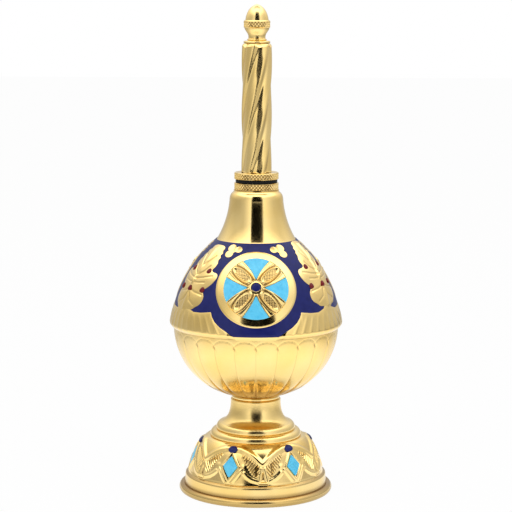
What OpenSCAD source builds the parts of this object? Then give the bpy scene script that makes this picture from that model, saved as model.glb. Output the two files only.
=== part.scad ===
// Standing holy-water sprinkler: a footed enamelled vessel with a screw-on twisted spout
// and an acorn cap. Millimetres. The origin is the centre of the foot's resting face,
// +Z is up, and the front medallion faces -Y.

/* [Sheet metal and fits] */
// Thickness of the pressed brass sheet
sheet_t = 1.0; // [0.8:0.1:1.3]
// Gap left between soldered or seated pieces
solder_gap = 0.05; // [0.02:0.01:0.08]
// Radial clearance of the screw threads
thread_gap = 0.05; // [0.03:0.01:0.09]

/* [Foot] */
// Diameter over the rolled rim
foot_d = 66.4; // [64:0.2:72]
// Thickness of the rolled rim
rim_d = 3.6; // [3:0.1:4.2]
// Width of the flat land under the rim
rim_land = 1.6; // [1.2:0.1:2.2]
// Gap from the outside of the rim to the plain skirt
rim_overhang = 2.3; // [2:0.1:2.6]
// Height of the plain skirt
skirt_h = 8; // [7:0.2:10]
// How far the skirt draws in towards its top
skirt_taper = 0.8; // [0.4:0.1:1.2]
// Width of the step between the skirt and the dome
skirt_step = 0.9; // [0.6:0.1:1.4]
// Height of the dome's flat top above the table
dome_h = 25.2; // [23:0.2:30]
// Diameter of the dome's flat top
dome_top_d = 41.4; // [40.4:0.2:44]

/* [Foot ornament] */
// Number of enamel diamonds round the foot
diamond_count = 6; // [4:1:7]
// Turn of the foot's ornament from the front
foot_turn = 4.5; // [0:0.5:10]
// Width of an enamel diamond
diamond_w = 6.6; // [5:0.2:8]
// Length of an enamel diamond
diamond_l = 8.8; // [6.6:0.2:9.4]
// Width of the gold frame round a diamond
diamond_frame = 1.1; // [0.8:0.1:1.4]
// Height of the diamonds' centres above the skirt
diamond_h = 7.1; // [6.2:0.1:8.4]
// Diameter of the enamel dots above the diamonds
dot_d = 3.8; // [2.8:0.1:4]
// Depth of the enamel dots' centres below the dome's top
dot_drop = 2.4; // [2.2:0.1:3]

/* [Stem] */
// Height of the stem from the dome to the bowl's ring
stem_h = 15.3; // [14.4:0.1:20]
// Diameter of the lower ring of the stem
lower_ring_d = 39.4; // [38:0.2:40]
// Height of the lower ring
lower_ring_h = 2.9; // [2.4:0.1:3.4]
// Diameter of the upper ring of the stem
upper_ring_d = 34.2; // [32:0.2:36]
// Height of the upper ring
upper_ring_h = 3.2; // [2.6:0.1:3.6]
// Diameter where the waist rises from the upper ring
waist_d = 27; // [25:0.2:29]
// Diameter of the top of the stem
stem_top_d = 21.6; // [21:0.2:23]
// Radius of the waist's hollow curve
waist_curve_r = 11; // [9:0.5:16]
// Room round the washer inside the stem
washer_room = 1.2; // [0.8:0.1:1.6]
// Thickness of the stem's top plate
stem_plate_t = 2.5; // [2:0.1:3.5]
// Wall of the stem's spigot in the foot
stem_spigot_wall = 3.8; // [2.8:0.1:5]
// Length of the stem's spigot below the dome's top
stem_spigot_h = 1.8; // [1.4:0.1:3]

/* [Tie bolt] */
// Diameter of the tie stud
stud_d = 6; // [5:0.5:7]
// Clearance of the stud in its holes, on the radius
stud_gap = 0.2; // [0.1:0.05:0.4]
// Diameter of the stud's head inside the bowl
stud_head_d = 15; // [12:0.5:18]
// Thickness of the stud's head
stud_head_t = 1.6; // [1.2:0.1:2.4]
// Length of the stud past the nut
stud_tail = 1.5; // [1:0.1:3]
// Diameter of the washer
washer_d = 14; // [13:0.5:15]
// Thickness of the washer
washer_t = 1.2; // [0.8:0.1:2]
// Width of the nut across its flats
nut_af = 10; // [9:0.5:11]
// Height of the nut
nut_h = 5; // [4:0.2:6]

/* [Lower bowl] */
// Diameter of the ring under the bowl
base_ring_d = 20.8; // [20.2:0.2:23]
// Height of the ring under the bowl
base_ring_h = 1.8; // [1.4:0.1:2.6]
// Diameter of the flat under the bowl
bowl_flat_d = 19.4; // [18:0.2:20.2]
// Radius of the lower bowl's curve
lower_curve_r = 31.1; // [29:0.1:34]
// Number of gadroons round the lower bowl
gadroon_count = 24; // [16:1:30]
// Depth of the grooves between the gadroons
gadroon_depth = 0.7; // [0.4:0.05:0.9]
// Height of the plain band above the gadroons
plain_band_h = 5; // [4:0.2:8]

/* [Upper bowl and neck] */
// Greatest diameter of the vessel
bowl_d = 73; // [71:0.1:76]
// Height of the widest place above the bowl's flat
belly_h = 32.1; // [31:0.1:36]
// Height of the lip that laps over the lower bowl
lip_h = 2.4; // [2:0.1:4]
// Thickness of the lip where it meets the belly
lip_t = 0.95; // [0.85:0.05:1.2]
// Draw-in of the lip at its lower edge
lip_taper = 0.4; // [0.2:0.1:0.6]
// How far the lower bowl's rim stays below the belly
rim_drop = 0.6; // [0.4:0.1:1.2]
// Height from the widest place to the edge of the neck
shoulder_h = 35.6; // [34:0.2:40]
// Radius of the shoulder's curve
shoulder_curve_r = 50; // [44:1:60]
// Diameter of the neck at its lower edge
neck_edge_d = 34; // [32:0.2:36]
// Height of the neck
neck_h = 21.4; // [19:0.2:28]
// Diameter of the neck under its rounded top
neck_d = 22.8; // [22.4:0.2:25]
// Radius of the neck's hollow curve
neck_curve_r = 40; // [30:1:60]
// Radius of the neck's rounded top
neck_round = 2.6; // [2.2:0.1:2.8]

/* [Shoulder ornament] */
// Number of medallions round the shoulder
medallion_count = 3; // [2:1:3]
// Height of a medallion's centre, as a share of the shoulder's height
medallion_share = 0.548; // [0.52:0.004:0.57]
// Diameter of a medallion
medallion_d = 34; // [31:0.2:34.6]
// Width of a medallion's gold border
medallion_border = 3.4; // [2.6:0.1:4]
// Width of an enamel cell at the border
cell_w = 11; // [9:0.2:12]
// Distance of a cell's point from the medallion's centre
cell_point = 3.4; // [3:0.1:4]
// Length of the hollow in a petal between two cells
petal_l = 9; // [8:0.2:9.4]
// Width of the hollow in a petal
petal_w = 4.2; // [3.4:0.2:4.6]
// Diameter of the enamel button in a medallion
button_d = 3.8; // [3:0.1:4.2]
// Width of the gold seat round the button
button_seat = 0.8; // [0.5:0.1:1]
// Diameter of the red enamel berries on a leaf
berry_d = 2.2; // [1.6:0.1:2.4]
// Height of a leaf's middle, as a share of the shoulder's height
leaf_share = 0.606; // [0.58:0.002:0.612]
// Height of a panel's middle, as a share of the shoulder's height
panel_share = 0.129; // [0.11:0.005:0.15]
// Height of the trefoils, as a share of the shoulder's height
trefoil_share = 0.914; // [0.89:0.002:0.92]
// Turn of a trefoil from its medallion
trefoil_turn = 29; // [27:0.5:32]
// Height of the plain edge under the ornament
plain_edge = 0.3; // [0.2:0.05:0.8]
// Thickness of the enamel
enamel_t = 0.35; // [0.25:0.05:0.5]
// Height of the gold relief above the ground
relief_t = 0.6; // [0.5:0.05:0.9]

/* [Screwed neck] */
// Diameter of the knurled collars
collar_d = 19; // [18.6:0.2:21]
// Height of the collar on the neck
collar_h = 3; // [2.4:0.1:4]
// Wall of the collar's sleeve inside the neck
sleeve_wall = 1.4; // [1.1:0.05:1.5]
// Length of the collar's sleeve inside the neck
sleeve_h = 7.4; // [6:0.2:9]
// Outside diameter of the spout's screw
screw_d = 13.9; // [13:0.1:14.4]
// Length of the spout's screw below the seal
screw_l = 8.4; // [7:0.2:10]
// Diameter of the rubber seal
seal_d = 17.9; // [17:0.1:18.4]
// Thickness of the rubber seal
seal_t = 1.5; // [1:0.1:2.2]
// Height of the spout's knurled flange
flange_h = 2.9; // [2.4:0.1:4]
// Distance from one knurl ridge to the next
knurl_pitch = 1.06; // [0.9:0.02:1.4]
// Depth of the knurl
knurl_depth = 0.35; // [0.2:0.05:0.45]

/* [Spout] */
// Length of the twisted tube
tube_l = 54.7; // [45:0.5:70]
// Diameter of the tube over its lobes
tube_d = 12.9; // [12.5:0.1:13.6]
// Number of twisted lobes
lobe_count = 6; // [5:1:8]
// Depth of the hollow between two lobes
hollow_depth = 1; // [0.6:0.05:1.2]
// Turn of the tube's twist over its length
tube_twist = 145; // [90:5:180]
// Turn of the tube's lobes at its foot
tube_turn = 54; // [0:1:59]
// Wall of the tube at its thinnest
tube_wall = 0.8; // [0.6:0.05:1.2]
// Length of the pilot that holds the tube on its flange
pilot_l = 4; // [3:0.2:8]
// Wall of the pilot, inside which the water runs
pilot_wall = 0.6; // [0.5:0.05:1]

/* [Spout tip] */
// Diameter of the tip's disc
tip_d = 11.4; // [10.8:0.1:11.8]
// Thickness of the tip's disc
tip_t = 1.1; // [0.8:0.1:1.6]
// Length of the plug in the tube
plug_l = 6; // [4:0.2:10]
// Wall of the plug
plug_wall = 1.5; // [1:0.1:2.2]
// Diameter of the threaded nipple
nipple_d = 5; // [4.4:0.1:5.4]
// Length of the nipple
nipple_h = 4.9; // [4:0.1:5.4]
// Wall of the nipple
nipple_wall = 0.9; // [0.7:0.05:1.1]
// Thickness of the nipple's pierced end
nipple_end = 1.2; // [0.8:0.1:1.6]
// Diameter of the sprinkling holes
spray_d = 0.7; // [0.5:0.05:0.75]

/* [Acorn cap] */
// Height of the cap
cap_h = 15.4; // [14.6:0.1:18]
// How far the cap's foot bead stands out from its neck
cap_bead = 0.9; // [0.5:0.05:1.2]
// Wall of the cap's narrow neck
cap_wall = 1.2; // [0.9:0.05:1.5]
// Height of the cap's neck
cap_neck_h = 1.8; // [1.5:0.1:2.2]
// Height of the cup's knurled band above the cap's foot
band_z = 5.5; // [5:0.1:6]
// Height of the knurled band
band_h = 2.8; // [2.2:0.1:3.4]
// Diameter of the knurled band
band_d = 11.3; // [10.8:0.1:12]
// Step from the valleys of the band in to the acorn's nut
nut_step = 0.1; // [0.05:0.05:0.4]
// Thickness of the seal inside the cap
cap_seal_t = 1; // [0.6:0.1:1.4]

/* [Hidden] */
$fn = 96;

gold = "#e6b850";
pale_gold = "#efd58a";
navy = "#1b2566";
sky = "#55c8fa";
berry_red = "#78141e";
rubber = "#161616";
steel = "#9a9a98";

// Steps in a drawn curve
curve_steps = 8;
// Length of a cutting prism, and of a cut that passes right through
reach = 14;
// Depth to which the relief is rooted in the sheet
root = 0.4;

// Heights of the stack, from the table up
skirt_top = skirt_h + skirt_step;
ring_z = dome_h + stem_h;
bowl_z = ring_z + base_ring_h;
bowl_wall = sheet_t + gadroon_depth / 2;
floor_z = bowl_z + bowl_wall;
belly_z = bowl_z + belly_h;
rim_z = belly_z - rim_drop;
lower_bowl_h = rim_z - bowl_z;
lip_z = belly_z - lip_h;
edge_z = belly_z + shoulder_h;
neck_z = edge_z + neck_h;
collar_z = neck_z + collar_h;
flange_z = collar_z + seal_t;
tube_z = flange_z + flange_h;
tip_z = tube_z + tube_l;
nipple_z = tip_z + tip_t;
cap_seal_z = nipple_z + nipple_h;
cap_top_z = nipple_z + cap_h;

// Sizes that several pieces share
stem_bore_d = washer_d + 2 * washer_room;
stem_spigot_d = stem_bore_d + 2 * stem_spigot_wall;
lower_rim_d = bowl_d - 2 * lip_t - 2 * solder_gap;
sleeve_d = screw_d + 2 * thread_gap + 2 * sleeve_wall;
tube_bore = tube_d - 2 * hollow_depth - 2 * tube_wall;
water_bore = tube_bore - 2 * solder_gap - 2 * pilot_wall;
plug_bore = tube_bore - 2 * solder_gap - 2 * plug_wall;
nipple_bore = nipple_d - 2 * nipple_wall;
cap_neck_d = nipple_d + 2 * thread_gap + 2 * cap_wall;
cap_foot_d = cap_neck_d + 2 * cap_bead;
stud_hole_r = stud_d / 2 + stud_gap;
screw_r = screw_d / 2;
pilot_r = tube_bore / 2 - solder_gap;
nut_r = nut_af / 2 / cos(30);
plate_z = ring_z - stem_plate_t;

// Shape of the dome: control points as shares of its width and height
dome_swell = [[0.08, 0.31], [0.64, 0.8]];
// Shape of the acorn's nut: control points as shares of its width and height
acorn_swell = [[0.04, 0.3], [0.24, 0.86]];

function unit(v) = v / norm(v);

// Points of a cubic curve from a to b, with control points given as shares of the way
function swell(a, b, k, n = curve_steps) = [for (i = [0 : n]) let (
    t = i / n,
    s = 1 - t,
    c = [for (j = [0 : 1]) [a.x + (b.x - a.x) * k[j].x, a.y + (b.y - a.y) * k[j].y]])
  s * s * s * a + 3 * s * s * t * c[0] + 3 * s * t * t * c[1] + t * t * t * b];

// A path moved to its left by d, which on the outlines here is into the metal
function inset(path, d) = [for (i = [0 : len(path) - 1]) let (
    along = unit(path[min(i + 1, len(path) - 1)] - path[max(i - 1, 0)]))
  path[i] + d * [-along.y, along.x]];

function reversed(path) = [for (i = [len(path) - 1 : -1 : 0]) path[i]];

// Centre of an arc of radius r from a to b, lying to the left of the way from a to b
function arc_centre(a, b, r) = let (
    half = (b - a) / 2,
    along = unit(half))
  a + half + sqrt(r * r - half * half) * [-along.y, along.x];

// The skirt and dome of the foot, from the rim to the dome's flat top
skirt_r = foot_d / 2 - rim_overhang;
dome_r = skirt_r - skirt_taper - skirt_step;
dome_path = swell([dome_r, skirt_top], [dome_top_d / 2, dome_h], dome_swell);
rim_z0 = sqrt(rim_d * rim_d - rim_land * rim_land) / 2;
foot_hole_r = stem_spigot_d / 2 + solder_gap;
diamond_z = skirt_top + diamond_h;
dot_z = dome_h - dot_drop;
foot_path = concat(
  [[skirt_r, rim_z0], [skirt_r - skirt_taper, skirt_h]],
  dome_path,
  [[foot_hole_r, dome_h]]);

// Centres of the bowl's, shoulder's and neck's curves
lower_c = arc_centre([bowl_flat_d / 2, bowl_z], [lower_rim_d / 2, rim_z], lower_curve_r);
shoulder_c = arc_centre([bowl_d / 2, belly_z], [neck_edge_d / 2, edge_z], shoulder_curve_r);
neck_top_z = neck_z - neck_round;
neck_c = arc_centre([neck_d / 2, neck_top_z], [neck_edge_d / 2, edge_z], neck_curve_r);

// A child set on a surface: r out from the axis at height z, leaning back by tilt degrees.
// The child's X runs round to the right, its Y up the slope and its Z outwards.
module facing(turn, r, z, tilt)
  rotate([0, 0, turn]) translate([0, -r, z]) rotate([90 - tilt, 0, 0]) children();

// A drawn shape as a prism through the surface on which it is set
module prism() linear_extrude(reach, center = true) children();

function shoulder_r(z) = shoulder_c.x + sqrt(pow(shoulder_curve_r, 2) - pow(z - shoulder_c.y, 2));
function shoulder_tilt(z) = asin((z - shoulder_c.y) / shoulder_curve_r);

module on_shoulder(turn, z) facing(turn, shoulder_r(z), z, shoulder_tilt(z)) children();

// Copies of a child for each medallion, turned from its centre
module each_medallion(turn = 0)
  for (i = [0 : medallion_count - 1]) rotate([0, 0, 360 / medallion_count * i + turn]) children();

// Copies of a child for each diamond on the foot
module each_diamond()
  for (i = [0 : diamond_count - 1]) rotate([0, 0, 360 / diamond_count * (i + 0.5) + foot_turn])
    children();

// The dome's radius and lean at a height, read from its drawn path
function dome_r_at(z) = lookup(z, [for (p = dome_path) [p.y, p.x]]);
function dome_tilt(z) = atan2(dome_r_at(z - 0.5) - dome_r_at(z + 0.5), 1);

module on_dome(z) facing(0, dome_r_at(z), z, dome_tilt(z)) children();

// A layer over the dome, from lo to hi above its surface
module dome_layer(lo, hi) rotate_extrude()
  polygon(concat(inset(dome_path, -hi), reversed(inset(dome_path, -lo))));

// The vessel's outline above the belly, moved out by d
module shoulder_outline(d) {
  intersection() {
    translate(shoulder_c) circle(shoulder_curve_r + d, $fn = 400);
    translate([0, belly_z]) square([bowl_d, shoulder_h]);
  }
}

module neck_outline(d) difference() {
  translate([0, edge_z]) square([neck_edge_d / 2 + d, neck_top_z - edge_z]);
  translate(neck_c) circle(neck_curve_r - d, $fn = 400);
}

module neck_top_outline(d) {
  translate([0, neck_top_z]) square([neck_d / 2 - neck_round, neck_round + d]);
  intersection() {
    translate([neck_d / 2 - neck_round, neck_top_z]) circle(neck_round + d);
    translate([0, neck_top_z]) square([neck_d, neck_d]);
  }
}

// A layer over the shoulder, from lo to hi above its surface
module shoulder_layer(lo, hi) rotate_extrude() intersection() {
  difference() {
    shoulder_outline(hi);
    shoulder_outline(lo);
  }
  translate([0, belly_z + plain_edge]) square([bowl_d, shoulder_h]);
}

// A lens with pointed ends along Y
module lens(l, w) {
  r = (l * l + w * w) / w / 4;
  intersection() {
    translate([r - w / 2, 0]) circle(r);
    translate([w / 2 - r, 0]) circle(r);
  }
}

field_r = medallion_d / 2 - medallion_border;
petal_mid = (field_r + button_d / 2 + button_seat) / 2;

module petals_2d() for (a = [45 : 90 : 315]) rotate(a) translate([0, petal_mid]) lens(petal_l, petal_w);

// Half the outline of an enamel cell, as shares of its width and of its length
cell_half = [[0, 0], [0.1, 0.12], [0.44, 0.44], [0.88, 0.82], [1, 1]];

// The four enamel cells of a medallion, whose points meet round the button
module cells_2d() for (a = [0 : 90 : 270]) rotate(a) intersection() {
  circle(field_r);
  polygon([for (p = mirrored(cell_half)) [p.x * cell_w / 2, cell_point + p.y * (field_r - cell_point)]]);
}

module medallion_gold_2d() difference() {
  circle(medallion_d / 2);
  cells_2d();
}

// Outline of the right half of a leaf, from its tip down to its stalk
leaf_half = [[0, 16.4], [2.4, 15.8], [3.8, 14], [6.3, 8.4], [5.4, 6], [10.3, 3.2], [9.6, 0.4],
  [7.8, -1.8], [10, -5.4], [9.7, -8.8], [7, -11.9], [3.4, -13.1], [1.6, -14.4]];
leaf_berries_at = [[4.4, 5.2], [6.7, -2.4], [-4.4, 5.2], [-6.7, -2.4], [0, -3.6]];

function mirrored(half) = concat(half, [for (p = reversed(half)) [-p.x, p.y]]);

// The leaves, panels and trefoils are drawn for a shoulder of this height, and scaled to the real one
drawn_for = 35.6;
drawn_scale = shoulder_h / drawn_for;

module leaf_2d() scale(drawn_scale) polygon(mirrored(leaf_half));

module berries_2d() for (p = leaf_berries_at) translate(drawn_scale * p) circle(berry_d / 2);

// A gold panel under a leaf, drawn as half its width; its lower edge runs past the seam
panel_half = [[0, 6.6], [1.7, 5.6], [3.2, 3.9], [7.6, 3.2], [15.4, 3.8], [17.2, 1.2], [20, -1],
  [24, -3.6], [24, -9]];

module panel_2d() scale(drawn_scale) polygon(mirrored(panel_half));

// The three round lobes of a trefoil: each one's place and radius
trefoil_lobes = [[-2.4, 0.4, 1.3], [0.6, 1.2, 1.6], [1.5, -1.5, 1.5]];

// A trefoil with its small lobe towards the medallion, which lies on the side given
module trefoil_2d(side) scale(drawn_scale) for (p = trefoil_lobes) translate([side * p.x, p.y]) circle(p.z);

leaf_turn = 180 / medallion_count;
leaf_z = belly_z + leaf_share * shoulder_h;
panel_z = belly_z + panel_share * shoulder_h;
trefoil_z = belly_z + trefoil_share * shoulder_h;
medallion_z = belly_z + medallion_share * shoulder_h;

// Prisms of all the gold that stands up from the shoulder
module shoulder_gold() {
  each_medallion() on_shoulder(0, medallion_z) prism() circle(medallion_d / 2);
  each_medallion(leaf_turn) {
    on_shoulder(0, leaf_z) prism() leaf_2d();
    on_shoulder(0, panel_z) prism() panel_2d();
  }
  for (side = [-1, 1]) each_medallion(side * trefoil_turn)
    on_shoulder(0, trefoil_z) prism() trefoil_2d(side);
}

// A ring of fine upright ridges, as drawn across its axis
module knurl_2d(r) {
  count = round(2 * PI * r / knurl_pitch);
  polygon([for (i = [0 : 2 * count - 1]) let (a = 180 / count * i)
    (r - knurl_depth * (i % 2)) * [cos(a), sin(a)]]);
}

module foot_dome() color(gold) difference() {
  union() {
    rotate_extrude() difference() {
      union() {
        translate([foot_d / 2 - rim_d / 2, rim_z0]) circle(rim_d / 2);
        polygon(concat(foot_path, reversed(inset(foot_path, sheet_t))));
      }
      translate([0, -rim_d]) square([foot_d, rim_d]);
    }
    intersection() {
      dome_layer(-root, relief_t);
      each_diamond() on_dome(diamond_z) prism() difference() {
        diamond_2d(diamond_frame);
        diamond_2d(0);
      }
    }
  }
}

module diamond_2d(grow) {
  w = diamond_w / 2 + grow;
  l = diamond_l / 2 + grow * diamond_l / diamond_w;
  polygon([[w, 0], [0, l], [-w, 0], [0, -l]]);
}

module foot_diamonds() color(sky) intersection() {
  dome_layer(solder_gap, enamel_t);
  each_diamond() on_dome(diamond_z) prism() diamond_2d(-solder_gap);
}

module foot_dots() color(navy) intersection() {
  dome_layer(solder_gap, relief_t);
  each_diamond() on_dome(dot_z) prism() circle(dot_d / 2);
}

module stem() color(pale_gold) difference() {
  union() {
    translate([0, 0, dome_h]) stem_ring(lower_ring_d, lower_ring_h);
    translate([0, 0, dome_h + lower_ring_h]) stem_ring(upper_ring_d, upper_ring_h);
    translate([0, 0, dome_h - stem_spigot_h]) cylinder(h = stem_spigot_h, d = stem_spigot_d);
    rotate_extrude() waist_2d();
  }
  translate([0, 0, dome_h - stem_spigot_h]) cylinder(h = plate_z - dome_h + stem_spigot_h, d = stem_bore_d);
  cylinder(h = ring_z + reach, r = stud_hole_r);
}

// A turned ring whose edge is a quarter-round, falling outwards
module stem_ring(d, h) rotate_extrude() {
  square([d / 2 - h, h]);
  intersection() {
    translate([d / 2 - h, 0]) circle(h);
    square([d, h]);
  }
}

// The hollow-sided waist between the rings and the bowl
waist_z = dome_h + lower_ring_h + upper_ring_h;
waist_c = arc_centre([stem_top_d / 2, ring_z], [waist_d / 2, waist_z], waist_curve_r);

module waist_2d() difference() {
  translate([0, waist_z]) square([waist_d / 2, ring_z - waist_z]);
  translate(waist_c) circle(waist_curve_r, $fn = 200);
}

module tie_stud() color(steel) {
  translate([0, 0, floor_z]) cylinder(h = stud_head_t, d = stud_head_d);
  translate([0, 0, stud_end_z]) cylinder(h = floor_z - stud_end_z, d = stud_d);
}

washer_z = plate_z - washer_t;
nut_z = washer_z - nut_h;
stud_end_z = nut_z - stud_tail;

module tie_washer() color(steel) translate([0, 0, washer_z]) difference() {
  cylinder(h = washer_t, d = washer_d);
  translate([0, 0, -reach / 2]) cylinder(h = reach, r = stud_hole_r);
}

module tie_nut() color(steel) translate([0, 0, nut_z]) difference() {
  cylinder(h = nut_h, r = nut_r, $fn = 6);
  translate([0, 0, -reach / 2]) cylinder(h = reach, r = stud_d / 2 + thread_gap);
}

module base_ring() color(gold) translate([0, 0, ring_z]) difference() {
  rotate_extrude() {
    square([base_ring_d / 2 - base_ring_h / 2, base_ring_h]);
    translate([base_ring_d / 2 - base_ring_h / 2, base_ring_h / 2]) circle(base_ring_h / 2);
  }
  translate([0, 0, -reach / 2]) cylinder(h = reach, r = stud_hole_r);
}

// Gadroons: how far the bowl's wall is drawn in at an angle and a share of its height
columns_per_gadroon = 4;
columns = gadroon_count * columns_per_gadroon;
outer_rings = 9;
inner_rings = 4;
band_share = 1 - plain_band_h / lower_bowl_h;
function groove(k) = 1 - abs(sin(180 * k / columns_per_gadroon));
function fade(s) = min(1, max(0, (band_share - s) * 8)) * min(1, s * 6);

// The lower bowl's curve at a share s of its height, moved in by d
function lower_point(s, d) = let (
    z = bowl_z + d + s * (lower_bowl_h - d),
    r = lower_curve_r - d)
  [lower_c.x + sqrt(r * r - pow(min(0, z - lower_c.y), 2)), z];

// Rings lie closer together near the bottom, where the wall curves most
function share(i, n) = pow(i / n, 1.5);

// One upright slice of the lower bowl, as a closed loop of radius and height
function bowl_slice(k) = concat(
  [[stud_hole_r, bowl_z]],
  [for (i = [0 : outer_rings]) let (s = share(i, outer_rings), p = lower_point(s, 0))
    [p.x - gadroon_depth * groove(k) * fade(s), p.y]],
  [for (i = [inner_rings : -1 : 0]) lower_point(share(i, inner_rings), bowl_wall)],
  [[stud_hole_r, floor_z]]);

module bowl_lower() color(pale_gold) {
  slices = [for (k = [0 : columns - 1]) bowl_slice(k)];
  n = len(slices[0]);
  points = [for (k = [0 : columns - 1]) for (p = slices[k]) let (a = 360 / columns * k - 90)
    [p.x * cos(a), p.x * sin(a), p.y]];
  quads = [for (k = [0 : columns - 1]) for (i = [0 : n - 1])
    [k * n + i, k * n + (i + 1) % n, (k + 1) % columns * n + (i + 1) % n, (k + 1) % columns * n + i]];
  faces = [for (q = quads) for (t = [[q[0], q[1], q[2]], [q[0], q[2], q[3]]]) t];
  polyhedron(points, faces);
}

module bowl_upper() color(gold) {
  rotate_extrude() difference() {
    union() {
      polygon([[0, lip_z], [bowl_d / 2 - lip_taper, lip_z], [bowl_d / 2, belly_z], [0, belly_z]]);
      shoulder_outline(0);
      neck_outline(0);
      neck_top_outline(0);
    }
    translate([0, lip_z - reach]) square([lower_rim_d / 2 + solder_gap, belly_z - lip_z + reach]);
    shoulder_outline(-sheet_t);
    neck_outline(-sheet_t);
    neck_top_outline(-sheet_t);
    translate([0, neck_top_z]) square([sleeve_d / 2 + solder_gap, reach]);
  }
  difference() {
    intersection() {
      shoulder_layer(-root, relief_t);
      each_medallion() on_shoulder(0, medallion_z) prism() medallion_gold_2d();
    }
    intersection() {
      shoulder_layer(enamel_t, relief_t + root);
      each_medallion() on_shoulder(0, medallion_z) prism() petals_2d();
    }
  }
  intersection() {
    shoulder_layer(-root, relief_t);
    union() {
      each_medallion(leaf_turn) {
        on_shoulder(0, leaf_z) prism() difference() {
          leaf_2d();
          berries_2d();
        }
        on_shoulder(0, panel_z) prism() panel_2d();
      }
      for (side = [-1, 1]) each_medallion(side * trefoil_turn)
        on_shoulder(0, trefoil_z) prism() trefoil_2d(side);
    }
  }
}

module shoulder_enamel() color(navy) difference() {
  shoulder_layer(solder_gap, enamel_t);
  shoulder_gold();
}

module medallion_enamel() color(sky) intersection() {
  shoulder_layer(solder_gap, enamel_t);
  each_medallion() on_shoulder(0, medallion_z) prism() cells_2d();
}

module medallion_buttons() color(navy) each_medallion() on_shoulder(0, medallion_z)
  translate([0, 0, relief_t + solder_gap]) cylinder(h = enamel_t, d = button_d);

module leaf_berries() color(berry_red) intersection() {
  shoulder_layer(solder_gap, relief_t);
  each_medallion(leaf_turn) on_shoulder(0, leaf_z) prism() berries_2d();
}

module neck_collar() color(gold) difference() {
  union() {
    translate([0, 0, neck_z]) linear_extrude(collar_h) knurl_2d(collar_d / 2);
    translate([0, 0, neck_z - sleeve_h]) cylinder(h = sleeve_h, d = sleeve_d);
  }
  translate([0, 0, neck_z - sleeve_h - reach])
    cylinder(h = sleeve_h + collar_h + 2 * reach, r = screw_r + thread_gap);
}

module neck_seal() color(rubber) translate([0, 0, collar_z]) difference() {
  cylinder(h = seal_t, d = seal_d);
  translate([0, 0, -reach / 2]) cylinder(h = reach, r = screw_r + thread_gap);
}

module spout_flange() color(gold) difference() {
  union() {
    translate([0, 0, flange_z]) linear_extrude(flange_h) knurl_2d(collar_d / 2);
    translate([0, 0, collar_z - screw_l]) cylinder(h = screw_l + seal_t, r = screw_r);
    translate([0, 0, tube_z]) cylinder(h = pilot_l, r = pilot_r);
  }
  translate([0, 0, collar_z - screw_l - reach])
    cylinder(h = tube_z + pilot_l - collar_z + screw_l + 2 * reach, d = water_bore);
}

// The tube's section: broad round lobes with a narrow hollow between each two
side_steps = 8;
tube_slices = 32;

module tube_2d() {
  turn = 360 / lobe_count;
  polygon([for (e = [0 : lobe_count - 1]) for (i = [0 : side_steps - 1]) let (
      u = i / side_steps,
      r = tube_d / 2 - hollow_depth * pow((1 - cos(360 * u)) / 2, 1.5))
    r * [cos(turn * (u + e)), sin(turn * (u + e))]]);
}

module spout_tube() color(gold) translate([0, 0, tube_z]) rotate([0, 0, tube_turn]) difference() {
  linear_extrude(tube_l, twist = -tube_twist, slices = tube_slices, segments = side_steps * lobe_count)
    tube_2d();
  translate([0, 0, -reach]) cylinder(h = tube_l + 2 * reach, d = tube_bore);
}

module spout_tip() color(gold) difference() {
  union() {
    translate([0, 0, tip_z - plug_l]) cylinder(h = plug_l, r = pilot_r);
    translate([0, 0, tip_z]) cylinder(h = tip_t, d = tip_d);
    translate([0, 0, nipple_z]) cylinder(h = nipple_h, d = nipple_d);
  }
  translate([0, 0, tip_z - plug_l - reach]) cylinder(h = plug_l + reach, d = plug_bore);
  translate([0, 0, tip_z - plug_l]) cylinder(h = plug_l + tip_t + nipple_h - nipple_end, d = nipple_bore);
  for (a = [0 : 90 : 270]) rotate([0, 0, a]) translate([nipple_bore / 2 - spray_d, 0, nipple_z])
    cylinder(h = nipple_h + reach, d = spray_d, $fn = 24);
  translate([0, 0, nipple_z]) cylinder(h = nipple_h + reach, d = spray_d, $fn = 24);
}

cap_bore_r = nipple_d / 2 + thread_gap;
band_bottom = nipple_z + band_z;
band_top = band_bottom + band_h;
acorn_r = band_d / 2 - knurl_depth - nut_step;

module cap_seal() color(rubber) translate([0, 0, cap_seal_z])
  cylinder(h = cap_seal_t, r = nipple_d / 2);

module acorn_cap() color(gold) difference() {
  union() {
    rotate_extrude() polygon(concat(
      [[0, nipple_z], [cap_foot_d / 2, nipple_z], [cap_foot_d / 2, nipple_z + cap_neck_h / 2],
        [cap_neck_d / 2, nipple_z + cap_neck_h], [cap_neck_d / 2, nipple_z + cap_neck_h + cap_bead / 2],
        [acorn_r, band_bottom]],
      swell([acorn_r, band_top], [0, cap_top_z], acorn_swell)));
    translate([0, 0, band_bottom]) linear_extrude(band_h) knurl_2d(band_d / 2);
  }
  translate([0, 0, nipple_z - reach]) cylinder(h = reach + nipple_h + cap_seal_t, r = cap_bore_r);
}

foot_dome();
foot_diamonds();
foot_dots();
stem();
tie_stud();
tie_washer();
tie_nut();
base_ring();
bowl_lower();
bowl_upper();
shoulder_enamel();
medallion_enamel();
medallion_buttons();
leaf_berries();
neck_collar();
neck_seal();
spout_flange();
spout_tube();
spout_tip();
cap_seal();
acorn_cap();
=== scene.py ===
"""Looks of a standing holy-water sprinkler.

A gilt foot and a gadrooned bowl, an enamelled shoulder, a twisted spout and an acorn cap.
"""

from math import acos, atan2, cos, hypot, pi, radians, sin, sqrt, tan, tau

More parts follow.
